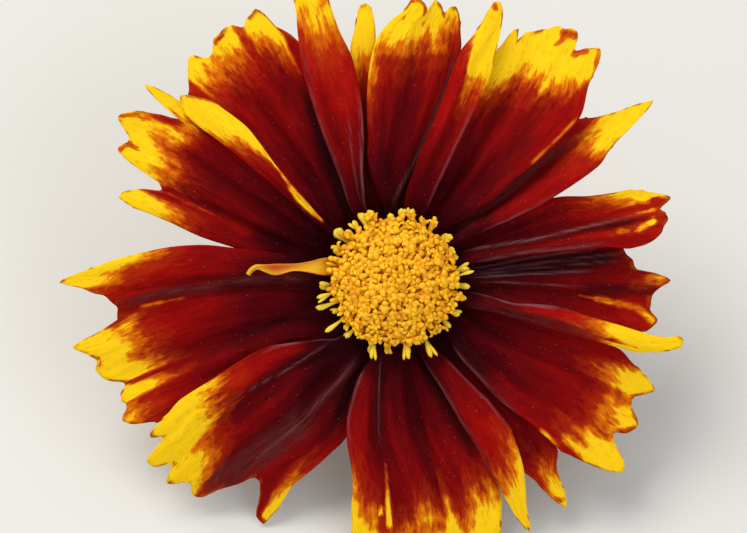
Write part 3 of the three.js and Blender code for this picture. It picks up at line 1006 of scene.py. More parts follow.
    def build(self, head: Head, skin: bpy.types.Material) -> bpy.types.Object:
        """Make the blade, fine enough to carry its veins as relief.

        Args:
            head: Where the flower head sits.
            skin: The petal's finish.

        Returns:
            The new piece.
        """
        cw, ccw = self.margins()
        marks = self.outline(cw, ccw)
        breadth = self.breadth(cw, ccw)
        seed = float(int(self.name[-2:])) * self.seed_step
        draft = MeshDraft()
        sheet: Sheet = []
        for f in self.shares(marks, breadth):
            inward = min(f, 1 - f)
            nibble = noise.noise(Vector((f * breadth * self.nibbles, seed, 0.0))) + 0.5
            nibble *= rise(inward * breadth, 0.0, self.whole_margin)
            r_end = through(marks, f) + self.ragged * nibble
            sheet.append([])
            for k in range(self.rows):
                share = (k / (self.rows - 1)) ** self.row_power
                r = mix(self.claw_radius, r_end, share)
                a0, a1 = through(cw, r), through(ccw, r)
                angle = mix(a0, a1, f)
                turn = math.radians(angle)
                u, v = r * math.cos(turn), r * math.sin(turn)
                half = self.thickness / 2 * (1 - self.thinning * max(abs(2 * f - 1), share) ** 8)
                ripple, furrow = self.ripple(u, v, f * breadth, r, seed)
                w = self.height(f, r) + ripple + furrow
                w += sum(pleat.ridge(angle, r) for pleat in self.pleats)
                w = max(w, head.floor_under(v) + half)
                sheet[-1].append((Vector((u, v, w + half)), Vector((u, v, w - half))))
                for key, value in self.paint(angle, r, r_end - r).items():
                    draft.note(key, value)
                draft.note("valley", -furrow / self.furrow_unit - self.folded(f) / self.fold_unit)
                draft.note("margin", inward * math.radians(a1 - a0) * r)
                draft.uvs.append((f * breadth, r + seed))
        count = len(draft.uvs)
        draft.slab(sheet)
        draft.note("reverse", 0.0, count)
        draft.note("reverse", 1.0, count)
        return draft.piece(self.name + "_petal", self.name, "ray_floret", skin, head.matrix())

    def ripple(self, u: float, v: float, across: float, r: float, seed: float) -> Span:
        """Give the blade's fine unevenness.

        Args:
            u: Place to the right.
            v: Place up the face.
            across: Distance from the clockwise margin.
            r: Radius.
            seed: The blade's own place in the noise.

        Returns:
            Two extra heights in mm: of a slow wave, and of the furrows between the veins.
        """
        wave = noise.noise(Vector((u / self.wave_gap, v / self.wave_gap, seed)))
        furrow = noise.noise(Vector((across / self.furrow_gap, r / self.furrow_length, seed)))
        out = rise(r, *self.folds_in)
        return self.wave_height * out * wave, self.furrow_height * out * furrow


RAYS = (
    RayFloret(
        "ray_01", 132.4, (UNDER, UNDER), (0.2, 0), glow=-0.05,
        folds=(Fold(0.3, 0.16, -0.35), Fold(0.66, 0.18, -0.45)),
        cw=((6.6, 119), (8, 116), (10, 113.5), (16, 111), (22.5, 110.8)),
        ccw=((6.6, 140.8), (9, 139.6), (13, 137.6), (18, 137), (22, 137.3), (24.7, 137.9)),
        end=((111.5, 22.7), (112.6, 23.6), (114.9, 24.8), (115.8, 26.2), (117, 26.9), (118.9, 26.8),
             (120.6, 26.1), (122.3, 26.7), (126.2, 26.8), (129.8, 25.5), (131.9, 26.8),
             (134.5, 26.1)),
        gold=((111, 27), (114.6, 27), (115, 23.4), (116.3, 22.9), (117.3, 24.2), (118.7, 24.9),
              (120.3, 24.9), (120.8, 25.5), (121.2, 27), (122.3, 27), (122.7, 24.9), (125, 24.8),
              (126.5, 24.7), (128, 24.9), (129, 25.3), (129.6, 24.8), (130.6, 24.5), (131.2, 25.3),
              (132.5, 24.4), (134, 24.2), (135.2, 24.6), (135.8, 27), (138, 27)),
        pleats=(
            Pleat(((6.8, 123.5), (9, 120.4), (11, 118.4), (14, 116.8), (19, 114.6)),
                  1.0, 0.9, 0.0, 0.0, 0.0),),
        streaks=streaks((126.5, 26.6, 125, 26.6, 0.2, -4), (114.4, 20.2, 114.6, 24, 0.12, 4.2))),
    RayFloret(
        "ray_02", 116.8, (OVER, OVER), (0.6, 0.6), glow=0.08, blend=1.5,
        folds=(Fold(0.3, 0.34, 0.4),),
        cw=((6.8, 110.6), (9, 107.2), (13.4, 101.4), (16.7, 100.2), (19.6, 100.5), (22.8, 102.4),
            (25.5, 103)),
        ccw=((6.9, 121.5), (10.5, 117.8), (16, 115.3), (20.7, 113.2), (23.2, 111.4), (26.4, 109.7)),
        end=((104, 27.2), (106.2, 28.2), (108.5, 27.4)),
        gold=((102.6, 26.2), (104.5, 25.6), (105.5, 24.8), (107, 24.4), (108.5, 24.9),
              (109.5, 25.6), (110.5, 26.6)),
        pleats=(
            Pleat(((7.5, 121), (9, 118.6), (11, 116.6), (13, 115.7), (16, 114.8), (22, 112)),
                  0.25, 0.5, 0.3, 0.2, 0.0, 0.11),
            Pleat(((7, 110.7), (8.3, 109), (9.5, 107.3), (11, 105.3), (12.5, 103.4), (14, 101.6),
                  (16, 100.8)), 0.25, 0.0, 0.75, 0.3, 0.0, 0.15),
            Pleat(((8, 112.5), (9.5, 110.7), (12, 108.2), (15.5, 105.2)), 0.3, 0.0, 0.3, 0.1)),
        streaks=streaks(
            (102.4, 20.6, 103.4, 24.4, 0.7, 1.9), (109.8, 24, 109.9, 26, 0.2, 1.2),
            (106, 22.4, 107.5, 23.6, 0.8, 0.6), (107.8, 19.6, 106.6, 23.5, 1.7, 0.9)),
        blushes=streaks((106, 16, 106.5, 23, 1.4, 0.14))),
    RayFloret(
        "ray_03", 101.2, (UNDER, UNDER), (0.2, 0.2),
        folds=(Fold(0.5, 0.4, -0.2),),
        cw=((6.6, 97.5), (12, 96.8), (18, 95.3), (22.5, 94.2)),
        ccw=((6.6, 112.5), (9, 109.5), (12, 105.5), (18, 103), (21.3, 100.3), (23.2, 98.6)),
        end=((94.6, 24.3), (96, 24.7), (97.4, 24.4)),
        gold=((94, 20), (97, 19.9), (98.5, 20.3), (99.4, 20.1), (100.6, 19.2), (101, 18.8))),
    RayFloret(
        "ray_04", 85.6, (UNDER, OVER), (0, 0.4), glow=-0.03,
        folds=(Fold(0.24, 0.16, 0.3), Fold(0.5, 0.18, -0.35)),
        cw=((6.6, 80), (10.3, 78), (13.8, 75), (18, 73.3), (21.3, 73.8), (23.7, 75.4)),
        ccw=((6.8, 98), (8.6, 101.8), (10, 102.6), (13.4, 100), (16, 98.6), (21, 94.6), (22.9, 91),
             (24.1, 87.8)),
        end=((76.4, 24.5), (77.3, 24.75), (78.4, 24.55), (79.3, 24.1), (80.3, 24.8), (81.3, 25.05),
             (82.1, 24.8), (82.9, 24.1), (83.8, 24.6), (85.2, 24.95), (86.3, 24.9)),
        gold=((75.3, 24.5), (76.2, 23.2), (77, 22.3), (78.5, 22), (79.5, 21.7), (81, 21.4),
              (82.3, 22.4), (83.3, 22.3), (84.5, 21.6), (86.5, 21.3), (88, 20.8), (89.5, 20.5),
              (90.6, 20.8), (91.3, 21.4), (93, 21.1), (94.6, 20), (96, 18.9), (97.4, 17.8),
              (98.4, 17.3), (99.5, 17.2)),
        pleats=(
            Pleat(((7, 90), (7.6, 88), (9, 84), (10.5, 80.8), (12, 78.7), (14, 76.8), (16, 75.9),
                  (18, 75.1), (21, 74.8)), 0.35, 0.2, 0.35, 0.7, 0.1, 0.18),
            Pleat(((8, 84), (10, 79.6), (12, 77), (14, 75.5)), 0.5, 0.7, 0.0, 0.0, 0.0)),
        streaks=streaks(
            (79.6, 24.4, 79.3, 23.9, 0.2, -3), (83.6, 24.5, 83.4, 23.8, 0.15, -3),
            (85.6, 24.9, 87.4, 24.6, 0.2, -4), (87.6, 23.4, 88.1, 23.2, 0.15, -3),
            (77.5, 22, 77.5, 24.4, 1.0, -1.2))),
    RayFloret(
        "ray_05", 70, (OVER, OVER), (0.6, 0.6), glow=0.08,
        folds=(Fold(0.68, 0.32, 0.6),),
        cw=((6.9, 65), (10.2, 65.1), (13.8, 64.9), (18.9, 64.5), (21, 65.2)),
        ccw=((6.8, 82.5), (8, 82), (10.3, 79.6), (13.8, 76.6), (16.6, 75.2), (20.8, 74.1),
             (23.5, 71.8)),
        end=((66.4, 22.9), (68.1, 25.7), (69.1, 26.3), (70.3, 26)),
        gold=((64.5, 19.2), (66, 19.3), (67, 19.3), (68, 18.8), (69.4, 18.4), (70.3, 18.6),
              (70.8, 20.2), (71.1, 22.6), (71.6, 24.2), (72.2, 25.8)),
        pleats=(Pleat(((7.5, 65.6), (10, 65.6), (16.5, 65.3)), 0.25, 0.0, 0.5, 0.3, 0.05, 0.13),),
        streaks=streaks((70.6, 26.1, 69.7, 25.7, 0.4, -3.4), (71.8, 20, 72, 23, 0.5, 2.5))),
    RayFloret(
        "ray_06", 53, (OVER, UNDER), (0.5, 0.1),
        folds=(Fold(0.34, 0.16, -0.45), Fold(0.68, 0.16, -0.5)),
        cw=((6.8, 44), (8.5, 41), (11.2, 39.5), (13.8, 40.2), (16.2, 39.9), (18.6, 40.3),
            (21.6, 41.2), (25.2, 45.7)),
        ccw=((6.6, 68), (10, 67.5), (16, 67), (20, 66.5), (22.5, 66)),
        end=((46.8, 26.5), (48.5, 27.4), (50, 26.7), (52, 25.8), (52.9, 26.7), (53.8, 27.3),
             (56.3, 26.9), (57.3, 26.8), (58.8, 25.9), (60.5, 25.4), (62.2, 24.8), (62.8, 23.9),
             (63.6, 24.8), (64.6, 24.6)),
        gold=((40, 27), (45.5, 27), (45.9, 24.2), (46.5, 23.4), (47.3, 23.8), (48, 23.8),
              (49, 23.4), (50, 22.8), (51.3, 22.6), (52.1, 21.5), (52.5, 21.8), (53.3, 22.8),
              (54, 22.7), (55, 22.1), (55.6, 22.3), (56.5, 21.9), (58, 21.9), (59.3, 21.4),
              (60, 21), (61, 20.3), (62, 20.1), (63.5, 19.3), (65, 19.2)),
        streaks=streaks(
            (40.6, 16, 41.6, 21.4, 0.18, 5), (55.6, 26.6, 53.2, 27.2, 0.5, -4.2),
            (55.5, 25.4, 54.5, 26.6, 0.3, -3.6), (51.7, 25.6, 50.3, 26.5, 0.45, -4.2),
            (48.6, 27.4, 46.2, 25.8, 0.3, -3), (52, 21.2, 52, 22, 0.35, 1.3))),
    RayFloret(
        "ray_07", 34.5, (OVER, UNDER), (0.2, 0),
        folds=(Fold(0.62, 0.26, -0.25),),
        cw=((6.8, 29), (9.1, 28.8), (11.6, 27.7), (14.1, 27.3), (16.3, 27.8), (18.7, 28.5),
            (20.8, 29.4), (22.6, 31.4)),
        ccw=((6.6, 47), (10, 45), (16, 43.5), (21, 42.5), (22.4, 40.5)),
        end=((33, 25), (34.2, 27.2), (34.8, 27.8), (35.8, 26.7), (37.8, 24.1)),
        gold=((28.5, 24.6), (31, 24.6), (31.8, 24.4), (32.6, 23.2), (33.2, 22.1), (33.8, 21.6),
              (34.8, 21.3), (36, 21.5), (37, 22), (38, 22.4), (38.8, 23), (39.2, 25)),
        pleats=(
            Pleat(((7, 38.4), (12, 38.8), (16, 38.8), (20.5, 38.3)), 0.6, 0.0, 0.0, 0.75),
            Pleat(((9, 28.6), (13, 27.9), (16, 28.1)), 0.3, 0.0, 0.4, 0.0, 0.0, 0.16)),
        streaks=streaks((30.6, 20.4, 32.2, 22.2, 0.7, 2.5), (29.8, 18.4, 31, 20.4, 0.5, 0.9)),
        blushes=streaks((30.5, 11, 32, 19, 1.0, 0.2))),
    RayFloret(
        "ray_08", 17.5, (OVER, UNDER), (-0.2, -0.4),
        folds=(Fold(0.42, 0.22, -0.5),),
        cw=((6.8, 12.4), (8.6, 11.7), (12.3, 10.9), (16.8, 9.5), (19, 9.1), (21.1, 7.8)),
        ccw=((6.6, 31.5), (9, 30.5), (12, 29.8), (14.5, 28.9), (16.4, 27), (18.8, 23.6), (21, 21.9),
             (22.4, 21.2), (23.5, 20.2)),
        end=((8.1, 22.3), (9.3, 23.5), (10.8, 24.2), (12.7, 24.7), (14.2, 24.8), (15.1, 24.3),
             (16.9, 25.6), (19, 24.2)),
        gold=((8, 27), (16.5, 27), (17, 25.2), (17.4, 24.4), (17.6, 23.2), (18, 22.4), (18.8, 22),
              (19.6, 21.8), (20.6, 21.2), (21.9, 20.4), (22.6, 20.2), (24, 19.8)),
        pleats=(
            Pleat(((7, 22.5), (9, 20), (11, 18), (13, 16.6), (16, 16), (23, 15.2)),
                  0.3, 0.0, 0.55, 0.35, 0.15, 0.12),
            Pleat(((8, 20), (11, 16.8), (14, 15), (18, 14.6), (23, 14)), 0.35, 0.6, 0.0, 0.0, 0.0),
            Pleat(((8, 13), (10, 12.6), (12, 12.2), (16, 10.7), (18.5, 10.3)),
                  0.5, 0.5, 0.4, 0.2, 0.0, 0.16)),
        streaks=streaks(
            (16.6, 24.8, 17.3, 24.2, 0.3, -4), (15.6, 21.5, 15.3, 24, 0.12, 4.2),
            (13, 23.6, 11.9, 22, 0.34, 4.9), (12.6, 20.3, 11.9, 21.3, 0.34, 4.7),
            (12.2, 19.6, 12.6, 22.4, 0.5, 3.3)),
        blushes=streaks((13.6, 13, 13, 19, 0.8, 0.16))),
    RayFloret(
        "ray_09", 0.8, (UNDER, UNDER), (-0.6, -0.8),
        folds=(Fold(0.3, 0.2, -0.3), Fold(0.62, 0.22, -0.5)),
        cw=((6.6, -12), (10, -12.6), (16, -13), (20, -13), (22, -12)),
        ccw=((6.6, 15), (9, 13.5), (13, 12.5), (17, 11.5), (20.5, 9.5)),
        end=((-11.4, 22.8), (-10.3, 23.2), (-8.7, 23.6), (-5.9, 22.8), (-3.3, 23), (-1.1, 23.7),
             (0.1, 24.4), (1.8, 23.2), (2.7, 21.7), (5, 21)),
        gold=((-12, 27), (10, 27)),
        pleats=(
            Pleat(((6.5, 6), (12, 6.4), (20.5, 6.6)), 1.35, 0.95, 0.0, 0.0, 0.0),
            Pleat(((7, 9), (12, 9.6), (18, 9.2)), 0.16, 0.0, 0.3, 0.0, 0.1, 0.12),
            Pleat(((7, 6.2), (12, 7), (20.5, 7)), 0.16, 0.0, 0.26, 0.0, 0.15, 0.12),
            Pleat(((7, 4.6), (12, 5.2), (20.5, 5.2)), 0.16, 0.0, 0.26, 0.0, 0.15, 0.1),
            Pleat(((7, 2.6), (11, 3), (17, 3)), 0.22, 0.0, 0.5, 0.1, 0.15, 0.14),
            Pleat(((8, -0.5), (12, -1), (16, -1.9)), 0.3, 0.5, 0.35),
            Pleat(((16, -2.5), (21, -2.2), (24, -1.8)), 0.8, 0.7, 0.0, 0.0, 0.0)),
        streaks=streaks(
            (0.9, 23.7, -0.8, 21.4, 0.85, 3), (-4.5, 16.4, -5.1, 18, 0.14, 4.2),
            (-5.1, 18, -5.8, 20, 0.32, 5), (-5.8, 20, -6.4, 21.8, 0.45, 4.9),
            (-6.4, 21.8, -8.8, 23.2, 0.5, 4.4))),
    RayFloret(
        "ray_10", -15.4, (OVER, OVER), (0, 0),
        folds=(Fold(0.5, 0.45, 0.5),),
        cw=((6.8, -20), (9.6, -17.4), (14.2, -17), (18, -16.6), (22.1, -16.5), (24, -15.3)),
        ccw=((6.8, -8), (10.6, -10), (12.3, -9.3), (14.5, -8.8), (17.5, -10.2), (20, -11),
             (23.7, -11.8), (24.7, -11.6), (25.7, -10.9)),
        end=((-14.8, 24.6), (-14.1, 25.2), (-13.1, 25.9), (-12.1, 26.15), (-11.4, 26.15)),
        gold=((-16.6, 20.8), (-15.4, 20.2), (-14.4, 19.4), (-13.4, 18.5), (-12.6, 18.2),
              (-11.8, 18.5), (-11, 18.9), (-10.2, 19.5)),
        pleats=(
            Pleat(((7, -19), (9, -17.6), (11.5, -15.8), (15, -15), (19, -15.3)),
                  0.75, 0.15, 0.0, 0.75, 0.0),
            Pleat(((7.3, -7.4), (8.5, -8), (10.4, -10.3), (12.3, -9.7), (15.5, -9.1)),
                  0.3, 0.3, 0.75, 0.3, 0.0, 0.2)),
        streaks=streaks(
            (-15.9, 19.6, -16.1, 23, 0.15, 3.6), (-15.4, 19.6, -15.6, 22.4, 0.13, -3.2)),
        blushes=streaks((-10.8, 12, -12, 17, 0.6, 0.28))),
    RayFloret(
        "ray_11", -34, (OVER, UNDER), (-0.1, -0.6),
        folds=(Fold(0.34, 0.16, -0.45), Fold(0.68, 0.16, -0.4)),
        cw=((6.8, -46.5), (9.3, -49.5), (12.9, -49.1), (15, -48.1), (17.5, -46.1), (21.1, -45.6)),
        ccw=((6.6, -16.5), (9, -15.6), (16, -15), (20.9, -16.8), (23, -19.4)),
        end=((-45.1, 21.5), (-43.3, 23.5), (-41.6, 25), (-39.4, 26.3), (-36.3, 24.2), (-34.9, 23.5),
             (-33.1, 24.6), (-31.4, 25.1), (-29.9, 24.9), (-27.9, 23.8), (-25.9, 23.6),
             (-24.1, 24.5), (-22.8, 25.1), (-20.4, 23.8)),
        gold=((-47, 27), (-44, 27), (-43.6, 23.3), (-43, 22.2), (-42.3, 21.2), (-41.5, 22),
              (-40.3, 22.1), (-39.4, 21.6), (-38.5, 21.3), (-37.8, 22.6), (-37.2, 23.2),
              (-36.4, 23.6), (-34, 23.6), (-33.2, 23.2), (-32.2, 23), (-31.2, 22.5), (-30, 22.7),
              (-28.6, 23.1), (-27.6, 23.6), (-26.1, 23.4), (-25.6, 21.9), (-25.2, 21.1),
              (-24.4, 21.6), (-23.4, 20.9), (-22, 21), (-20.9, 21.8), (-20.3, 22.6), (-19.6, 24),
              (-17, 27)),
        pleats=(
            Pleat(((7, -48.4), (9, -48.6), (12, -48.1), (16, -47.5)),
                  0.35, 0.5, 0.32, 0.3, 0.1, 0.12),
            Pleat(((6.5, -43), (9, -44.5), (12, -45.5)), 1.0, 0.85, 0.0, 0.0, 0.0)),
        streaks=streaks(
            (-20.6, 24.6, -22.3, 25.2, 0.3, -3.4), (-24, 24.9, -25.4, 23.8, 0.3, -3.2),
            (-28.4, 24.4, -30, 25.2, 0.25, -3.2), (-31.5, 25.1, -33.6, 24.3, 0.3, -3.2),
            (-26.4, 21.6, -28.2, 21.9, 0.6, 0.9), (-33.6, 21.9, -36.4, 21.6, 0.6, 0.9),
            (-45.5, 18.5, -45.3, 20.4, 0.35, 5.2), (-42, 20.6, -44, 20.8, 0.4, 1.8))),
    RayFloret(
        "ray_12", -52, (UNDER, UNDER), (-0.7, -0.7), glow=-0.05,
        folds=(Fold(0.5, 0.4, -0.2),),
        cw=((6.6, -62), (9, -60), (13, -58), (20, -56.2), (22, -54.7)),
        ccw=((6.6, -39.5), (9, -43), (12, -44), (16, -43.5), (20.8, -45.8), (22.1, -49)),
        end=((-54.6, 22.6), (-53.4, 24.7), (-52.7, 25.2), (-51.7, 24.6), (-50.3, 23.3)),
        gold=((-55, 23.2), (-53.6, 23.9), (-53.1, 23.2), (-52.3, 22.6), (-51.3, 22), (-50.4, 22.3),
              (-49.6, 23.4)),
        streaks=streaks(
            (-52.4, 24.6, -53.4, 24.5, 0.3, -2.4), (-50.6, 20.9, -52.5, 21.2, 0.5, 0.4))),
    RayFloret(
        "ray_13", -68, (OVER, OVER), (0.3, -0.1), glow=0.03,
        folds=(Fold(0.35, 0.3, 0.35),),
        cw=((6.8, -71), (10.3, -66.5), (13.4, -65.1), (16.4, -63.6), (20.2, -63.1), (23.7, -62.7)),
        ccw=((6.8, -59), (8.1, -56), (10.7, -53.5), (13.7, -51.4), (16, -51.4), (17.9, -53.1),
             (19.8, -55), (21.8, -57.7), (23.8, -60)),
        end=((-62.1, 24.7), (-61.3, 25)),
        gold=((-63.2, 21), (-62, 20.8), (-61, 20.6), (-60, 20.6), (-58.5, 20.4), (-57, 19.8),
              (-56, 19.3), (-55, 18.6), (-54, 18.2), (-53.2, 18.6), (-51, 19)),
        pleats=(
            Pleat(((8.5, -55.6), (10, -54.3), (12, -52.8), (14, -51.9), (16, -52)),
                  0.2, 0.0, 0.42, 0.2, 0.0, 0.12),
            Pleat(((8, -68.8), (10, -66.2), (12, -64.9), (15, -64), (20, -63)),
                  0.35, 0.5, 0.3, 0.3, 0.0, 0.14)),
        blushes=streaks((-57, 9.5, -57, 17, 1.1, 0.2))),
    RayFloret(
        "ray_14", -91, (OVER, UNDER), (-0.9, -0.1),
        folds=(Fold(0.29, 0.15, -0.45), Fold(0.64, 0.16, -0.45)),
        cw=((6.8, -106), (9.5, -110.5), (11.8, -109.5), (14.1, -107.4), (16, -104.2),
            (18.1, -101.6), (20.2, -100.7), (22.6, -99.6)),
        ccw=((6.6, -66), (10, -64.8), (14, -64), (18, -62.5), (21.5, -63.6), (23.4, -65.7)),
        end=((-99, 23.8), (-97, 24.6), (-94.6, 24.9), (-92.8, 23.7), (-90, 24.9), (-87, 25),
             (-84.6, 23.6), (-81.5, 25.1), (-78.2, 25.3), (-75.8, 23.8), (-72.8, 25.5),
             (-70.3, 25.8), (-67.5, 24.7)),
        gold=((-101.5, 18.6), (-100.4, 18.9), (-99.6, 19.6), (-99, 20.2), (-98, 20.8), (-97, 21.1),
              (-95.5, 21.4), (-94.6, 21.6), (-93.8, 22.4), (-93, 23.5), (-90, 23.5), (-88, 23.4),
              (-85.5, 23), (-84.5, 21.4), (-82, 21.3), (-80, 21.2), (-79.3, 22.4), (-78, 22.6),
              (-77.4, 21), (-76.6, 20.2), (-75.8, 21.2), (-75, 22.4), (-74, 23.2), (-72.5, 22.6),
              (-71.6, 22.4), (-71, 21.4), (-69, 21.1), (-67, 21), (-65.5, 20.8), (-64, 21)),
        pleats=(
            Pleat(((7, -99.5), (8.5, -98.6), (10, -97.7), (14, -95.6)), 0.3, 0.75, 0.4, 0.0),
            Pleat(((7, -82), (12, -80), (17, -79)), 0.3, 0.4, 0.0, 0.0, -0.1),
            Pleat(((6.5, -71), (9, -68.5), (12, -66.8), (17, -65)), 0.8, 0.8, 0.0, 0.0, 0.0),
            Pleat(((8, -109.3), (12, -109), (15, -105.5)), 0.2, 0.0, 0.4, 0.0, 0.0, 0.14)),
        streaks=streaks(
            (-91.1, 21.6, -91.9, 18.2, 0.2, 5.4), (-91.9, 18.2, -92.6, 16.2, 0.14, 4.4),
            (-84, 22.3, -80, 22.3, 0.7, -1.4), (-74, 22.6, -72, 22.6, 0.9, -0.2),
            (-93.1, 20, -93.3, 20.6, 0.1, 4.2), (-76.6, 20.6, -76.4, 22, 0.4, -0.7)),
        blushes=streaks((-105, 9.5, -102.5, 16, 0.9, 0.2))),
    RayFloret(
        "ray_15", -128, (OVER, UNDER), (0.1, -2.7), glow=-0.12,
        folds=(Fold(0.27, 0.14, -0.45), Fold(0.6, 0.18, -0.6)),
        cw=((6.8, -134.5), (8.4, -142), (11.1, -150.3), (12.5, -152.6), (13.9, -153),
            (17.9, -151.7), (21.5, -151), (23.6, -149.5)),
        ccw=((6.6, -103), (9, -105), (14, -106.5), (16.6, -110.7), (19.3, -114.9), (20.4, -116.3),
             (22.8, -116.8)),
        end=((-148, 25.4), (-147.2, 25.5), (-145.9, 24.6), (-144, 26.9), (-142.3, 26.9),
             (-140.5, 25.4), (-138.4, 26.9), (-135.3, 25.4), (-132.9, 26.1), (-131.9, 25.8),
             (-130.1, 24.4), (-126.9, 22.1), (-124.4, 21.1), (-122.2, 22.1), (-120.3, 24.3),
             (-118.1, 24.7)),
        gold=((-152, 18.6), (-151, 18.5), (-149.5, 18.9), (-148.4, 19.1), (-147.6, 19.8),
              (-146, 19.9), (-145, 20.3), (-143.5, 20.1), (-142.3, 20.2), (-141.6, 21.1),
              (-140.8, 22), (-139.8, 22.8), (-138, 22.8), (-136, 22.9), (-135, 23.4), (-134, 24.2),
              (-133.2, 24.9), (-132.6, 27), (-120.2, 27), (-119.8, 23.3), (-119.2, 22.1),
              (-118.4, 21.3), (-117.2, 20.6), (-116.2, 20.3)),
        pleats=(
            Pleat(((8, -137), (10, -138.8), (12, -140.3), (14, -141.7), (17, -143.6)),
                  0.3, 0.55, 0.45, 0.2),
            Pleat(((7, -134), (8, -140.5), (9.3, -145.8), (11, -149.5), (12.5, -151.3)),
                  0.2, 0.0, 0.65, 0.2, 0.0, 0.16),
            Pleat(((7.5, -116.3), (10, -118.8), (12, -121.2), (15, -123.6), (20, -127.5)),
                  0.6, 0.3, 0.25, 0.6, 0.25, 0.14),
            Pleat(((14, -123.5), (19, -127.5), (23, -130.8), (26, -133)),
                  1.9, 0.15, 0.0, 0.95, 0.0),
            Pleat(((6.5, -113.5), (9, -112.5), (11, -112.3), (14, -111.5)),
                  1.0, 0.92, 0.0, 0.0, 0.0)),
        streaks=streaks(
            (-117.4, 24.7, -120.4, 24.4, 0.45, -4.2), (-120.4, 22.6, -119.9, 24, 0.3, -2),
            (-139.3, 25.3, -140.6, 25.4, 0.25, -2.8), (-141.2, 26.7, -142.8, 26.8, 0.2, -2.5),
            (-145.5, 24.6, -146, 24.2, 0.15, -2.5), (-147.6, 17.6, -150, 18, 0.7, 0.5)),
        blushes=streaks((-148.3, 10.5, -147.6, 16.5, 1.2, 0.45))),
    RayFloret(
        "ray_16", 187, (OVER, UNDER), (0.4, 0), glow=-0.05,
        folds=(Fold(0.32, 0.15, -0.5), Fold(0.7, 0.15, -0.45)),
        cw=((6.8, 168), (8.8, 166), (14.1, 168.2), (16.4, 168.9), (19.3, 170.8), (22.1, 173.3),
            (25.2, 176), (26.8, 177.4)),
        ccw=((6.6, 229), (8.5, 221), (11, 213.5), (14, 212.5), (20, 212), (24.5, 211)),
        end=((178.7, 28.1), (180.3, 29.4), (181.3, 27.5), (183, 25.5), (185.6, 24.5), (187.9, 24.6),
             (189.6, 26.3), (191.7, 28.8), (193.3, 27.9), (195.1, 27.1), (196.7, 27.5),
             (198.7, 27.1), (201, 25.3), (202.6, 26.3), (203.7, 26.4), (204.6, 25.9), (207.3, 27),
             (208.6, 26.5)),
        gold=((173, 21.8), (174.3, 22), (175.2, 22.6), (176, 23), (176.9, 24), (177.6, 24.7),
              (178.4, 25.2), (179.6, 25.2), (180.4, 25.4), (180.9, 26.1), (181.3, 27.5),
              (189, 27.5), (189.2, 26), (189.7, 25.2), (190.5, 25), (191.4, 24.6), (192.2, 24.1),
              (192.8, 23.9), (193.4, 23.8), (195, 24), (196.4, 24.3), (197.2, 23.8), (198, 22.9),
              (199.2, 22.3), (200, 22.5), (200.4, 23.8), (200.7, 27), (201.2, 27), (201.5, 24.2),
              (202, 22.9), (202.8, 22.2), (203.5, 22.4), (204.1, 23.2), (204.5, 27), (213, 27)),
        pleats=(
            Pleat(((8, 178.5), (10, 178.8), (13, 179.6), (16, 181.6), (20.5, 183), (24, 184.6)),
                  0.6, 0.2, 0.15, 0.7, 0.2),
            Pleat(((7.5, 198), (12, 200), (18, 201)), 0.3, 0.4, 0.0, 0.0, -0.1)),
        streaks=streaks(
            (185.2, 20.6, 185.8, 22.3, 0.2, 5), (184.7, 18.6, 185.2, 20.6, 0.08, 4.2),
            (196.4, 27.1, 194.4, 27.1, 0.2, -4), (188.8, 23.8, 187.3, 22.4, 0.6, 3.1),
            (189, 24.2, 191.5, 23.2, 0.6, 0.6), (208.5, 23.6, 206.5, 25.6, 1.2, 0.8),
            (207.2, 26.5, 207, 26.1, 0.3, 1.6)),
        blushes=streaks((189, 15, 190.5, 21, 1.6, 0.1), (174, 15, 176.5, 21.5, 1.2, 0.14))),
    RayFloret(
        "ray_17", 163.6, (UNDER, UNDER), (0.3, 0.2), glow=-0.14,
        folds=(Fold(0.36, 0.16, -0.4), Fold(0.7, 0.16, -0.4)),
        cw=((6.6, 144), (9, 142), (13, 139.7), (18, 139.5), (22, 139.6), (24.4, 139.9)),
        ccw=((6.6, 172.5), (9, 170.5), (12, 170), (14.4, 168.3), (17.4, 167.2), (20.9, 165.2),
             (24, 164.4)),
        end=((140.3, 26), (141, 27.4), (142, 28.2), (142.7, 26.5), (143.1, 23.9), (144.4, 25.2),
             (147, 27.5), (149.2, 28.4), (151.9, 26.6), (154.6, 27), (156.2, 25), (157.4, 22.4),
             (158.6, 22), (160.2, 23.9), (161.8, 25.3), (163.2, 25.5)),
        gold=((140, 23.9), (142.7, 23.8), (143.2, 24.6), (144.6, 24.8), (145.1, 24), (146, 23.7),
              (147.5, 24.2), (148.4, 24.7), (149.4, 25.1), (150.1, 24.5), (150.8, 23.6),
              (151.6, 22.9), (153, 22.8), (155, 22.9), (156.2, 23.1), (156.9, 22.4), (157.3, 21.4),
              (157.8, 27), (159.6, 27), (160.1, 24.4), (160.6, 22.8), (161.2, 21.8), (161.7, 20.9),
              (163, 20.5), (165.2, 20.7)),
        streaks=streaks(
            (152.4, 26.5, 152.8, 25.7, 0.3, -4.2), (152.6, 26.6, 154.4, 27, 0.3, -3.8),
            (149, 28.4, 146.8, 27.1, 0.25, -3.6), (146.6, 26.6, 143.8, 24.3, 0.55, -3.4),
            (159.8, 17, 158.7, 21.6, 0.1, 4), (143.5, 22.2, 147, 23, 0.9, 1.5)),
        blushes=streaks((161, 14, 162, 20, 0.9, 0.3))),
    RayFloret(
        "ray_18", 148, (OVER, OVER), (0.6, 0.6),
        folds=(Fold(0.5, 0.45, 0.45),),
        cw=((7.1, 139.7), (8.5, 139), (11.2, 137), (14.2, 135.8), (17, 134.2), (18.6, 133.7),
            (20.2, 134.2), (21.9, 134.9)),
        ccw=((7.1, 144), (9.3, 143.2), (13.2, 141.7), (18.1, 141.3), (22, 141.6), (23.5, 141.5)),
        end=((135.3, 22.6), (137, 23.7), (139.1, 24.9), (140, 24.6)),
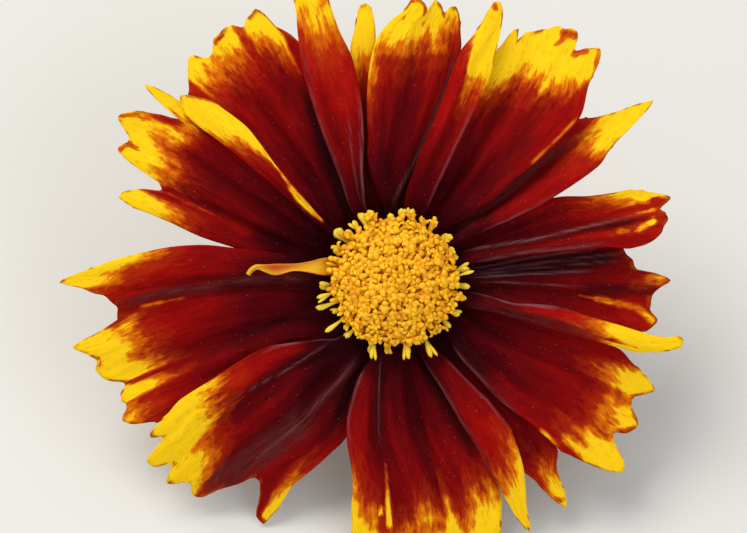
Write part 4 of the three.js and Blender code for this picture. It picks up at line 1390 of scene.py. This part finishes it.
        gold=((134, 15.4), (135.5, 15.9), (136.5, 16.9), (137.5, 18.1), (139, 18.9), (140.4, 19.2),
              (141, 20.8)),
        streaks=streaks(
            (139.9, 8.3, 139.8, 9.2, 0.16, 5.8), (139.8, 9.2, 139.7, 10, 0.32, 6.2),
            (139.7, 10, 138.8, 11.3, 0.45, 6.2), (138.8, 11.3, 138, 12.2, 0.32, 6.2),
            (138, 12.2, 136.7, 13.4, 0.15, 5.2), (136.7, 13.4, 135, 15.4, 0.07, 3.3))),
)


# ---------------------------------------------------------------------------------------------
# Ligule, disc, bracts and stalk
# ---------------------------------------------------------------------------------------------


@dataclass(frozen=True)
class InnerLigule:
    """The small extra ligule: a narrow tongue that twists as it leaves the disc's left edge.

    spine is its middle line as (u, v, w). widths and twist go by the share of its length.
    """

    spine: tuple[tuple[float, float, float], ...] = (
        (-5.0, 1.32, 1.5), (-6.3, 1.26, 2.08), (-7.2, 1.23, 2.45), (-8.7, 1.22, 2.95),
        (-10.4, 1.02, 3.2), (-11.3, 1.12, 3.3), (-11.95, 1.2, 3.28), (-12.45, 0.95, 3.15),
        (-12.75, 0.5, 3.0))
    widths: Points = (
        (0, 1.75), (0.125, 1.5), (0.25, 1.1), (0.375, 0.64), (0.5, 1.04), (0.625, 0.68),
        (0.75, 0.38), (0.88, 0.3), (0.94, 0.28), (0.98, 0.2), (1, 0.06))
    twist: Points = ((0, 25), (0.3, -15), (0.5, 20), (1, 45))
    thickness: float = 0.24
    # How far its middle sinks between its edges, and how far it is crimped.
    trough: float = 0.28
    crimp: float = 0.05
    crimp_seed: float = 4.0
    length: float = 7.5
    columns: int = 13
    rows: int = 44
    # Its red: a spot halfway out, and less of it on its edges and at its foot.
    spot_middle: Span = (0.5, -0.25)
    spot_size: Span = (0.16, 0.9)
    edge_flush: float = 0.55
    foot_flush: float = 0.12

    def middle(self, q: float) -> Vector:
        """Give the spine's point at a share of its length."""
        last = len(self.spine) - 1
        return Vector([through([(k / last, place[axis]) for k, place in enumerate(self.spine)], q)
                       for axis in range(3)])

    def flush(self, q: float, side: float) -> float:
        """Give how red it is at a place.

        Args:
            q: Share of its length.
            side: Place across it, from -1 to 1.

        Returns:
            Its redness, from 0 to 1.
        """
        along_spot = (q - self.spot_middle[0]) / self.spot_size[0]
        across_spot = (side - self.spot_middle[1]) / self.spot_size[1]
        spot = math.exp(-(along_spot**2) - across_spot**2)
        edge = max(rise(-side, 0.3, 0.95), rise(side, 0.6, 1.0)) * (1 - rise(q, 0.55, 0.72))
        foot = 1 - rise(q, 0.05, 0.25)
        return max(spot, edge * self.edge_flush, self.foot_flush * foot)

    def build(self, head: Head, skin: bpy.types.Material) -> bpy.types.Object:
        """Make the tongue.

        Args:
            head: Where the flower head sits.
            skin: Its finish.

        Returns:
            The new piece.
        """
        draft = MeshDraft()
        sheet: Sheet = []
        for j in range(self.columns):
            side = 2 * j / (self.columns - 1) - 1
            sheet.append([])
            for k in range(self.rows):
                q = k / (self.rows - 1)
                turn = math.radians(through(self.twist, q))
                out = side * through(self.widths, q) / 2
                half = self.thickness / 2 * (1 - 0.5 * abs(side) ** 4)
                crimp = noise.noise(Vector((side * 2.5, q * 5, self.crimp_seed)))
                bulge = self.crimp * crimp - self.trough * (1 - side * side)
                ahead = self.middle(q + 0.01) - self.middle(q - 0.01)
                level = Vector((-ahead.y, ahead.x, 0)).normalized()
                raised = Vector((0, 0, 1))
                across = level * math.cos(turn) - raised * math.sin(turn)
                up = level * math.sin(turn) + raised * math.cos(turn)
                point = self.middle(q) + across * out + up * bulge
                sheet[-1].append((point + up * half, point - up * half))
                draft.note("flush", self.flush(q, side))
                draft.uvs.append((out, q * self.length))
        draft.slab(sheet)
        return draft.piece("inner_ligule_tongue", "inner_ligule", "ligule", skin, head.matrix())


class Bloom(Enum):
    """How far a disc floret has opened."""

    BUD = "bud"
    FORKED = "forked"
    CLUB = "club"


@dataclass(frozen=True)
class DiscArm:
    """A style that leans out past the disc's edge.

    It has an angle, the radius of its tip, its thickness and how far it leans to one side.
    """

    angle: float
    tip: float
    thickness: float = 0.2
    sway: float = 0.0


ARMS = tuple(DiscArm(*row) for row in (
    (139.5, 6.85, 0.34), (131, 6.0, 0.26), (124.5, 6.3, 0.24), (117.5, 6.5, 0.26, 8),
    (109, 6.45, 0.28), (93, 5.8, 0.24), (81.5, 6.3, 0.24, -8), (76.5, 6.45, 0.24), (64, 6.0, 0.2),
    (57.5, 6.3, 0.2, 12), (45, 6.2, 0.2, 14), (38, 6.45, 0.2, -8), (30, 5.9, 0.24),
    (21.5, 5.9, 0.2), (11, 6.6, 0.26, 6), (2, 7.0, 0.12, -14), (-2, 6.55, 0.2, 8),
    (-6, 6.55, 0.2, -6), (-12, 6.45, 0.18, 4), (-20, 5.9, 0.18), (-29, 6.35, 0.22),
    (-38, 6.3, 0.24), (-47, 5.9, 0.24), (-57, 7.5, 0.27, 22), (-65, 5.9, 0.2), (-76, 6.6, 0.2, 10),
    (-82, 6.9, 0.22, -4), (-89, 6.1, 0.14, 16), (-99.5, 6.35, 0.16, -12), (-107, 7.0, 0.24, 5),
    (-112, 6.6, 0.24, -10), (-120, 5.9, 0.18), (-127.5, 6.45, 0.2, 12), (-137, 6.0, 0.2),
    (-144, 7.4, 0.18, -6), (-152, 6.0, 0.2), (-160, 7.1, 0.22), (-169, 6.9, 0.22),
    (-176.5, 6.45, 0.26), (151.5, 5.9, 0.28)))


@dataclass
class DiscFlorets:
    """The yellow disc: a low dome thickly set with fleshy florets in a sunflower spiral."""

    radius: float = 5.0
    base: float = 1.25
    crown: float = 2.3
    # The florets: how many, how far out the last one stands, and how deep their feet are sunk.
    count: int = 560
    outermost: float = 0.975
    sunk: float = 0.35
    # The share of closed ones, and how far a floret strays from its place, in mm.
    closed: float = 0.3
    stray: float = 0.09
    # How far the outermost ones lean outward, and how far any leans otherwise and sideways.
    edge_lean: float = 55.0
    any_lean: float = 16.0
    any_sway: float = 22.0
    # The lengths, what the outermost ones may have more, from which share of the radius, and
    # the radii.
    lengths: Span = (0.6, 1.1)
    edge_length: float = 0.55
    edge_from: float = 0.86
    sizes: Span = (0.15, 0.33)
    # The styles: how far in their feet stand, how high, how they lean and how stout they are.
    arm_inset: float = 0.5
    arm_heights: Span = (1.5, 2.0)
    arm_leans: Span = (74.0, 88.0)
    arm_spare: float = 0.15
    arm_girth: float = 1.2
    twin_from: float = 0.23
    sides: int = 8
    # A limb is broader across its curl than it is deep.
    breadth: float = 1.18
    depth: float = 0.8
    draft: MeshDraft = field(default_factory=MeshDraft)
    chance: random.Random = field(default_factory=lambda: random.Random(7))

    def dome(self, r: float) -> float:
        """Give the dome's height at a radius."""
        return self.base + self.crown * math.sqrt(1 - (r / (self.radius + 0.35)) ** 2)

    def limb(self, path: Sequence[Vector], size: float, widths: Sequence[float], tips: Span,
             tone: float, place: Matrix) -> None:
        """Add a fleshy limb along a path.

        Args:
            path: Its middle line.
            size: Its floret's radius.
            widths: Its own radius at each point of the path, as a share of that.
            tips: How far out it is on its floret at its two ends, from 0 to 1.
            tone: How deep its colour is.
            place: Where its floret stands.
        """
        side = Vector((0, 1, 0))
        turns = [2 * math.pi * j / self.sides for j in range(self.sides)]
        last = len(path) - 1
        rings = []
        for i, (point, width) in enumerate(zip(path, widths)):
            ahead = (path[min(i + 1, last)] - path[max(i - 1, 0)]).normalized()
            side = (side - ahead * side.dot(ahead)).normalized()
            other = ahead.cross(side)
            rings.append([place @ (point + size * width * (self.breadth * math.cos(t) * side
                                                           + self.depth * math.sin(t) * other))
                          for t in turns])
            self.draft.note("tip", mix(*tips, i / last), self.sides)
        self.draft.note("tip", tips[0])
        self.draft.note("tip", tips[1])
        self.draft.note("tone", tone, self.sides * len(path) + 2)
        self.draft.tube(rings)

    def bud(self, length: float, size: float, tone: float, place: Matrix) -> None:
        """Add a closed floret: a stout tube under a round, faintly pointed head.

        Args:
            length: Its length.
            size: Its radius where it is thickest.
            tone: How deep its colour is.
            place: Where it stands.
        """
        path = [Vector((0, 0, length * h)) for h in (0, 0.35, 0.55, 0.7, 0.84, 0.95, 1.0)]
        widths = (0.7, 0.72, 0.9, 1.0, 0.86, 0.48, 0.12)
        self.limb(path, size, widths, (0.0, 1.0), tone, place)

    def fork(self, length: float, size: float, tone: float, place: Matrix) -> None:
        """Add an open floret: a tube, and two or three pointed lobes that curl apart.

        Args:
            length: Its length.
            size: Its radius where it is thickest.
            tone: How deep its colour is.
            place: Where it stands.
        """
        column = [Vector((0, 0, length * h)) for h in (0, 0.4, 0.62, 0.75)]
        self.limb(column, size, (0.85, 0.9, 0.95, 0.5), (0.0, 0.5), tone, place)
        curl = ((0.0, 0.55), (0.25, 0.78), (0.6, 0.94), (1.0, 1.0), (1.4, 0.98), (1.8, 0.9))
        widths = (0.5, 0.66, 0.8, 0.76, 0.54, 0.12)
        lobes = self.chance.choice((2, 3))
        for k in range(lobes):
            angle = 2 * math.pi * k / lobes + self.chance.uniform(-0.4, 0.4)
            spread = self.chance.uniform(0.2, 0.46)
            tall = length * self.chance.uniform(0.9, 1.14)
            path = [Vector((x * spread, 0, z * tall)) for x, z in curl]
            turned = place @ Matrix.Rotation(angle, 4, "Z")
            self.limb(path, size, widths, (0.4, 1.0), tone, turned)

    def club(self, length: float, size: float, tone: float, place: Matrix) -> None:
        """Add a style: a slim bent shaft that swells to a blunt club, stout ones with a twin.

        Args:
            length: Its length.
            size: Its radius where it is thickest.
            tone: How deep its colour is.
            place: Where it stands.
        """
        bend = self.chance.uniform(-0.35, 0.35)
        path = [Vector((bend * h * h, 0.4 * bend * h, length * h)) for h in
                (0, 0.25, 0.5, 0.68, 0.82, 0.93, 1.0)]
        tips = (0.35, 1.0)
        self.limb(path, size, (0.7, 0.5, 0.5, 0.78, 1.0, 0.8, 0.25), tips, tone, place)
        if size > self.twin_from:
            aside = Vector((1.1 * size, 0.4 * size, 0))
            twin = [point + t * aside for point, t in zip(path[2:], (0.1, 0.6, 1.0, 1.3, 1.5))]
            self.limb(twin, size, (0.4, 0.5, 0.62, 0.55, 0.2), tips, tone, place)

    def plant(self, bloom: Bloom, r: float, w: float, lean: float, turn: float, sway: float,
              length: float, size: float) -> None:
        """Stand a floret on the dome.

        Args:
            bloom: How far it has opened.
            r: Radius of its foot.
            w: Height of its foot.
            lean: How far it leans outward.
            turn: Angle round the disc, in radians.
            sway: How far it leans sideways.
            length: Its length.
            size: Its radius where it is thickest.
        """
        place = (Matrix.Rotation(turn, 4, "Z") @ Matrix.Translation((r, 0, w))
                 @ Matrix.Rotation(math.radians(-sway), 4, "Z")
                 @ Matrix.Rotation(math.radians(lean), 4, "Y")
                 @ Matrix.Rotation(self.chance.uniform(0, 2 * math.pi), 4, "Z"))
        tone = -1.0 if bloom is Bloom.CLUB else 0.9 * self.chance.random() ** 2.5
        grow = {Bloom.BUD: self.bud, Bloom.FORKED: self.fork, Bloom.CLUB: self.club}[bloom]
        grow(length, size, tone, place)

    def core(self) -> None:
        """Add the dome under the florets."""
        steps, sides = 10, 48
        profile = [(self.radius * 0.55, 0.9), (self.radius * 0.84, 0.25), (self.radius, 0.3)]
        for k in range(steps, 0, -1):
            r = self.radius * k / steps
            profile.append((r, self.dome(r) - 0.12))
        turns = [2 * math.pi * j / sides for j in range(sides)]
        rings = [[Vector((r * math.cos(t), r * math.sin(t), w)) for t in turns] for r, w in profile]
        self.draft.tube(rings)
        points = sides * len(rings) + 2
        # The dome shows only in the gaps between the florets, so it takes a painted shade between
        # the shadow colour and the deep yellow.
        self.draft.note("tip", 0.25, points)
        self.draft.note("tone", 0.0, points)

    def build(self, head: Head, skin: bpy.types.Material) -> bpy.types.Object:
        """Make the disc.

        Args:
            head: Where the flower head sits.
            skin: The florets' finish.

        Returns:
            The new piece.
        """
        self.core()
        chance = self.chance
        for n in range(self.count):
            share = math.sqrt((n + 0.5) / self.count)
            r = self.radius * self.outermost * share
            lean = share**2 * self.edge_lean + chance.uniform(-self.any_lean, self.any_lean)
            bloom = Bloom.BUD if chance.random() < self.closed else Bloom.FORKED
            stray = Vector((chance.gauss(0, self.stray), chance.gauss(0, self.stray)))
            turn = n * GOLDEN_ANGLE + stray.y / (r + 0.3)
            sway = chance.uniform(-self.any_sway, self.any_sway)
            shortest, longest = self.lengths
            longest += self.edge_length * rise(share, self.edge_from, 1.0)
            self.plant(bloom, r + stray.x, self.dome(r) - self.sunk, lean, turn, sway,
                       chance.uniform(shortest, longest), chance.uniform(*self.sizes))
        foot = self.radius - self.arm_inset
        for arm in ARMS:
            self.plant(Bloom.CLUB, foot, chance.uniform(*self.arm_heights),
                       chance.uniform(*self.arm_leans), math.radians(arm.angle), arm.sway,
                       arm.tip + self.arm_spare - foot, arm.thickness * self.arm_girth)
        return self.draft.piece("disc_floret_mass", "disc_florets", "disc_floret", skin,
                                head.matrix())


@dataclass
class BractRing:
    """A ring of eight bracts joined at their feet.

    path runs from the ring out to the tips as (radius, w), join is the share of it that stays
    whole, and open is the share of each gap between blades. power says how blunt the tips are,
    and sway how far they sag or lift.
    """

    name: str
    slot: str
    path: Points
    join: float
    open: float
    power: float
    sway: float
    seed: int
    thickness: float = 0.5
    thinning: float = 0.55
    # The rib under each bract, with its half width as a share, and the trough along its top.
    rib: float = 0.12
    rib_width: float = 0.12
    trough: float = 0.35
    bracts: int = 8
    per_bract: int = 26
    rows: int = 26
    # Lengths of the skin's pattern along a bract, and between one bract's pattern and the next.
    skin_length: float = 8.0
    skin_step: float = 20.0

    def drops(self) -> list[float]:
        """Give how far each bract's tip sags or lifts, from the same seeds as the solids.

        Returns:
            A height in mm for each bract.
        """
        state, drops = self.seed, []
        for _ in range(self.bracts):
            state = (state * 1664525 + 1013904223) % 2**32
            drops.append((state / 2**32 - 0.5) * self.sway)
        return drops

    def spine(self, q: float) -> Span:
        """Give the place at a share of the path.

        Args:
            q: Share of the path's length.

        Returns:
            The radius and w there.
        """
        marks = [0.0]
        for (r0, w0), (r1, w1) in zip(self.path, self.path[1:]):
            marks.append(marks[-1] + math.hypot(r1 - r0, w1 - w0))
        r, w = (through([(m, place[axis]) for m, place in zip(marks, self.path)], q * marks[-1])
                for axis in range(2))
        return r, w

    def build(self, head: Head, skin: bpy.types.Material) -> bpy.types.Object:
        """Make the ring.

        Args:
            head: Where the flower head sits.
            skin: The bracts' finish.

        Returns:
            The new piece.
        """
        draft = MeshDraft()
        sheet: Sheet = []
        for bract, drop in enumerate(self.drops()):
            for j in range(self.per_bract):
                f = j / self.per_bract
                across = abs(2 * f - 1) / (1 - self.open)
                reach = self.join + (1 - self.join) * max(0.0, 1 - across**self.power)
                spin = Matrix.Rotation(2 * math.pi * (bract + f) / self.bracts, 3, "Z")
                sheet.append([])
                for k in range(self.rows):
                    outward = k / (self.rows - 1)
                    q = outward * reach
                    (r, w), (r0, w0), (r1, w1) = (self.spine(q + step) for step in (0, -0.01, 0.01))
                    ahead = Vector((r1 - r0, 0, w1 - w0)).normalized()
                    up = Vector((-ahead.z, 0, ahead.x))
                    half = self.thickness / 2 * (1 - self.thinning * outward**6)
                    swell = math.sin(math.pi * q)
                    rib = self.rib * math.exp(-((across / self.rib_width) ** 2)) * swell
                    sag = drop * q * q - self.trough * max(0.0, 1 - across) * swell
                    point = Vector((r, 0, w + sag))
                    sides = (point + up * half, point - up * (half + rib))
                    sheet[-1].append((spin @ sides[0], spin @ sides[1]))
                    draft.note("edge", rise(outward, 0.86, 1.0) * rise(q, 0.3, 0.6))
                    arc = (f - 0.5) * 2 * math.pi * r / self.bracts
                    draft.uvs.append((arc + self.skin_step * bract, self.skin_length * q))
        draft.slab(sheet, ring=True)
        return draft.piece(self.name + "_leaves", self.name, self.slot, skin, head.matrix())


@dataclass
class Stalk:
    """The stalk from its cut end: straight along the table, then bent up to the receptacle.

    The solid stalk lies on a flat of its twelve-sided section, which gives its axis's height.
    under and ledge are the receptacle's underside and top as (w, radius).
    """

    radius: float = 1.1
    neck: float = 6.6
    axis_height: float = 1.1 * math.cos(math.pi / 12)
    under: Points = ((-6.6, 1.1), (-5.9, 1.25), (-5.2, 1.5), (-4.4, 1.95), (-3.4, 2.9), (-2.55, 4),
                     (-1.9, 5.1), (-1.65, 5.25))
    ledge: Points = ((-1.65, 4.05), (-0.6, 3.9), (0.35, 3.3), (0.8, 2))
    under_span: Span = (-6.4, -1.65)
    # Steps along the straight, the bend and the receptacle's underside.
    flat_steps: int = 24
    bend_steps: int = 36
    under_steps: int = 22
    sides: int = 40
    # Shallow grooves along the slim part, and an unevenness everywhere.
    grooves: int = 8
    groove_depth: float = 0.035
    grooved_to: float = 2.0
    knobs: float = 0.03
    knob_length: float = 3.0

    def stations(self, head: Head) -> list[tuple[float, float, float, float]]:
        """Give the stalk's sections, from the cut end to the top.

        Args:
            head: Where the flower head sits.

        Returns:
            Sections as (y, z, pitch, radius).
        """
        lean = math.radians(head.lean)
        upright = math.pi / 2 - lean
        axis = self.axis_height
        bend = (head.height - self.neck * math.cos(lean) - axis) / (1 - math.sin(lean))
        start = self.neck * math.sin(lean) + bend * math.cos(lean)
        rows = [(mix(head.stalk_end, start, k / self.flat_steps), axis, 0.0, self.radius)
                for k in range(self.flat_steps)]
        for k in range(self.bend_steps + 1):
            pitch = k / self.bend_steps * upright
            rows.append((start - bend * math.sin(pitch), axis + bend * (1 - math.cos(pitch)),
                         pitch, self.radius))
        places = [mix(*self.under_span, k / self.under_steps) for k in range(self.under_steps + 1)]
        for w, radius in [*((w, through(self.under, w)) for w in places), *self.ledge]:
            rows.append((-w * math.sin(lean), head.height + w * math.cos(lean), upright, radius))
        return rows

    def build(self, head: Head, skin: bpy.types.Material) -> bpy.types.Object:
        """Make the stalk.

        Args:
            head: Where the flower head sits.
            skin: The stalk's finish.

        Returns:
            The new piece.
        """
        draft = MeshDraft()
        rings = []
        length = 0.0
        last = None
        for y, z, pitch, radius in self.stations(head):
            centre = Vector((0, y, z))
            length += (centre - last).length if last else 0.0
            last = centre
            depth = self.groove_depth if radius < self.grooved_to else 0.0
            ring = []
            for j in range(self.sides):
                angle = 2 * math.pi * (j + 0.5) / self.sides
                right, up = math.cos(angle), math.sin(angle)
                knobs = noise.noise(Vector((right * 2, up * 2, length / self.knob_length)))
                out = radius * (1 - depth * (0.5 + 0.5 * math.cos(self.grooves * angle)))
                out += self.knobs * knobs
                right, up = out * right, out * up
                point = centre + Vector((right, up * math.sin(pitch), up * math.cos(pitch)))
                point.z = max(point.z, 0.0)
                ring.append(point)
                draft.note("edge", 0.0 if rings else 0.8)
                draft.uvs.append((angle * self.radius, length))
            rings.append(ring)
        # The cut end is pale all over, and the top, under the disc, isn't.
        draft.note("edge", 1.0)
        draft.note("edge", 0.0)
        draft.uvs += [(0.0, 0.0), (0.0, length)]
        draft.tube(rings)
        origin = head.origin()
        place = Matrix.Scale(MM, 4) @ Matrix.Translation((origin.x, origin.y, 0.0))
        return draft.piece("stalk_stem", "stalk", "stalk", skin, place)


# ---------------------------------------------------------------------------------------------
# Studio
# ---------------------------------------------------------------------------------------------


@dataclass(frozen=True)
class Lamp:
    """A soft square light: its place from the head's middle and its side in metres, its watts."""

    name: str
    place: tuple[float, float, float]
    side: float
    power: float
    tint: str

    def hang(self, target: Vector) -> None:
        """Hang it so that it points at the target.

        Args:
            target: A place in metres.
        """
        data = bpy.data.lights.new(self.name, "AREA")
        data.size = self.side
        data.energy = self.power
        data.color = linear_colour(self.tint)[:3]
        lamp = add_object(self.name, data)
        lamp.location = target + Vector(self.place)
        lamp.rotation_euler = (target - lamp.location).to_track_quat("-Z", "Y").to_euler()


@dataclass
class Studio:
    """A pale table, soft lights and the camera, in metres."""

    table_side: float = 6.0
    sky: str = "#e9eef2"
    sky_strength: float = 0.62
    lamps: tuple[Lamp, ...] = (
        Lamp("key", (-0.28, 0.22, 0.55), 0.45, 3.6, "#fffaf2"),
        Lamp("fill", (0.4, -0.45, 0.35), 0.6, 1.9, "#f4f8ff"))
    # The camera's place over the face, in the head's mm, and its lens and sensor in mm.
    camera_place: tuple[float, float, float] = (-1.81, 1.28, 250.8)
    lens: float = 136.2
    sensor: float = 36.0
    sight: Span = (0.01, 20.0)

    def table(self) -> None:
        """Lay the table at the floor's height."""
        half = self.table_side / 2
        corners = [(-half, -half, 0), (half, -half, 0), (half, half, 0), (-half, half, 0)]
        mesh = bpy.data.meshes.new("table")
        mesh.from_pydata(corners, [], [(0, 1, 2, 3)])
        mesh.materials.append(PaleTable().build())
        table = add_object("table", mesh)

    def camera(self, head: Head) -> None:
        """Set the camera square to the flower's face.

        Args:
            head: Where the flower head sits.
        """
        data = bpy.data.cameras.new("camera")
        data.lens = self.lens
        data.sensor_width = self.sensor
        data.clip_start, data.clip_end = self.sight
        camera = add_object("camera", data)
        camera.location = head.matrix() @ Vector(self.camera_place)
        camera.rotation_euler = (math.radians(head.lean), 0, 0)
        bpy.context.scene.camera = camera

    def build(self, head: Head) -> None:
        """Make the whole studio.

        Args:
            head: Where the flower head sits.
        """
        self.camera(head)
        self.table()
        for lamp in self.lamps:
            lamp.hang(head.matrix() @ Vector((0, 0, 0)))
        world = bpy.data.worlds.new("sky")
        world.use_nodes = True
        sky = world.node_tree.nodes["Background"].inputs
        sky["Color"].default_value = linear_colour(self.sky)
        sky["Strength"].default_value = self.sky_strength
        bpy.context.scene.world = world
        bpy.context.scene.view_settings.view_transform = "Standard"


def main() -> None:
    """Build the studio and the bloom, and report each piece."""
    logging.basicConfig(level=logging.INFO, format="%(name)s: %(message)s")
    head = Head()
    Studio().build(head)
    petal = VelvetPetal().build()
    pieces = [ray.build(head, petal) for ray in RAYS]
    pieces.append(InnerLigule().build(head, LigulePetal().build()))
    pieces.append(DiscFlorets().build(head, WaxyFloret().build()))
    inner = BractRing(
        "inner_bracts", "inner_bract",
        ((2.35, -5.15), (3.3, -4.1), (4.6, -3.2), (5.9, -2.45), (7.2, -2), (8.7, -1.75),
         (10.2, -1.9)),
        join=0.42, open=0.02, power=2.2, sway=0.5, seed=11)
    membrane = LeafySkin(name="bract_membrane", body="#6e5a28", dark="#43261a", edge="#b0903f")
    pieces.append(inner.build(head, membrane.build()))
    outer = BractRing(
        "outer_bracts", "outer_bract",
        ((2, -6.5), (3.2, -5.75), (4.6, -5), (6.1, -4.55), (7.6, -4.6), (9, -5)),
        join=0.14, open=0.34, power=1.5, sway=1.2, seed=23)
    pieces.append(outer.build(head, LeafySkin(name="bract_skin").build()))
    green = LeafySkin(name="stalk_skin", body="#6d9a3c", dark="#4c7a28")
    pieces.append(Stalk().build(head, green.build()))
    for piece in pieces:
        triangles = sum(len(polygon.vertices) - 2 for polygon in piece.data.polygons)
        log.info("%s: %d triangles", piece.name, triangles)


if __name__ == "__main__":
    main()
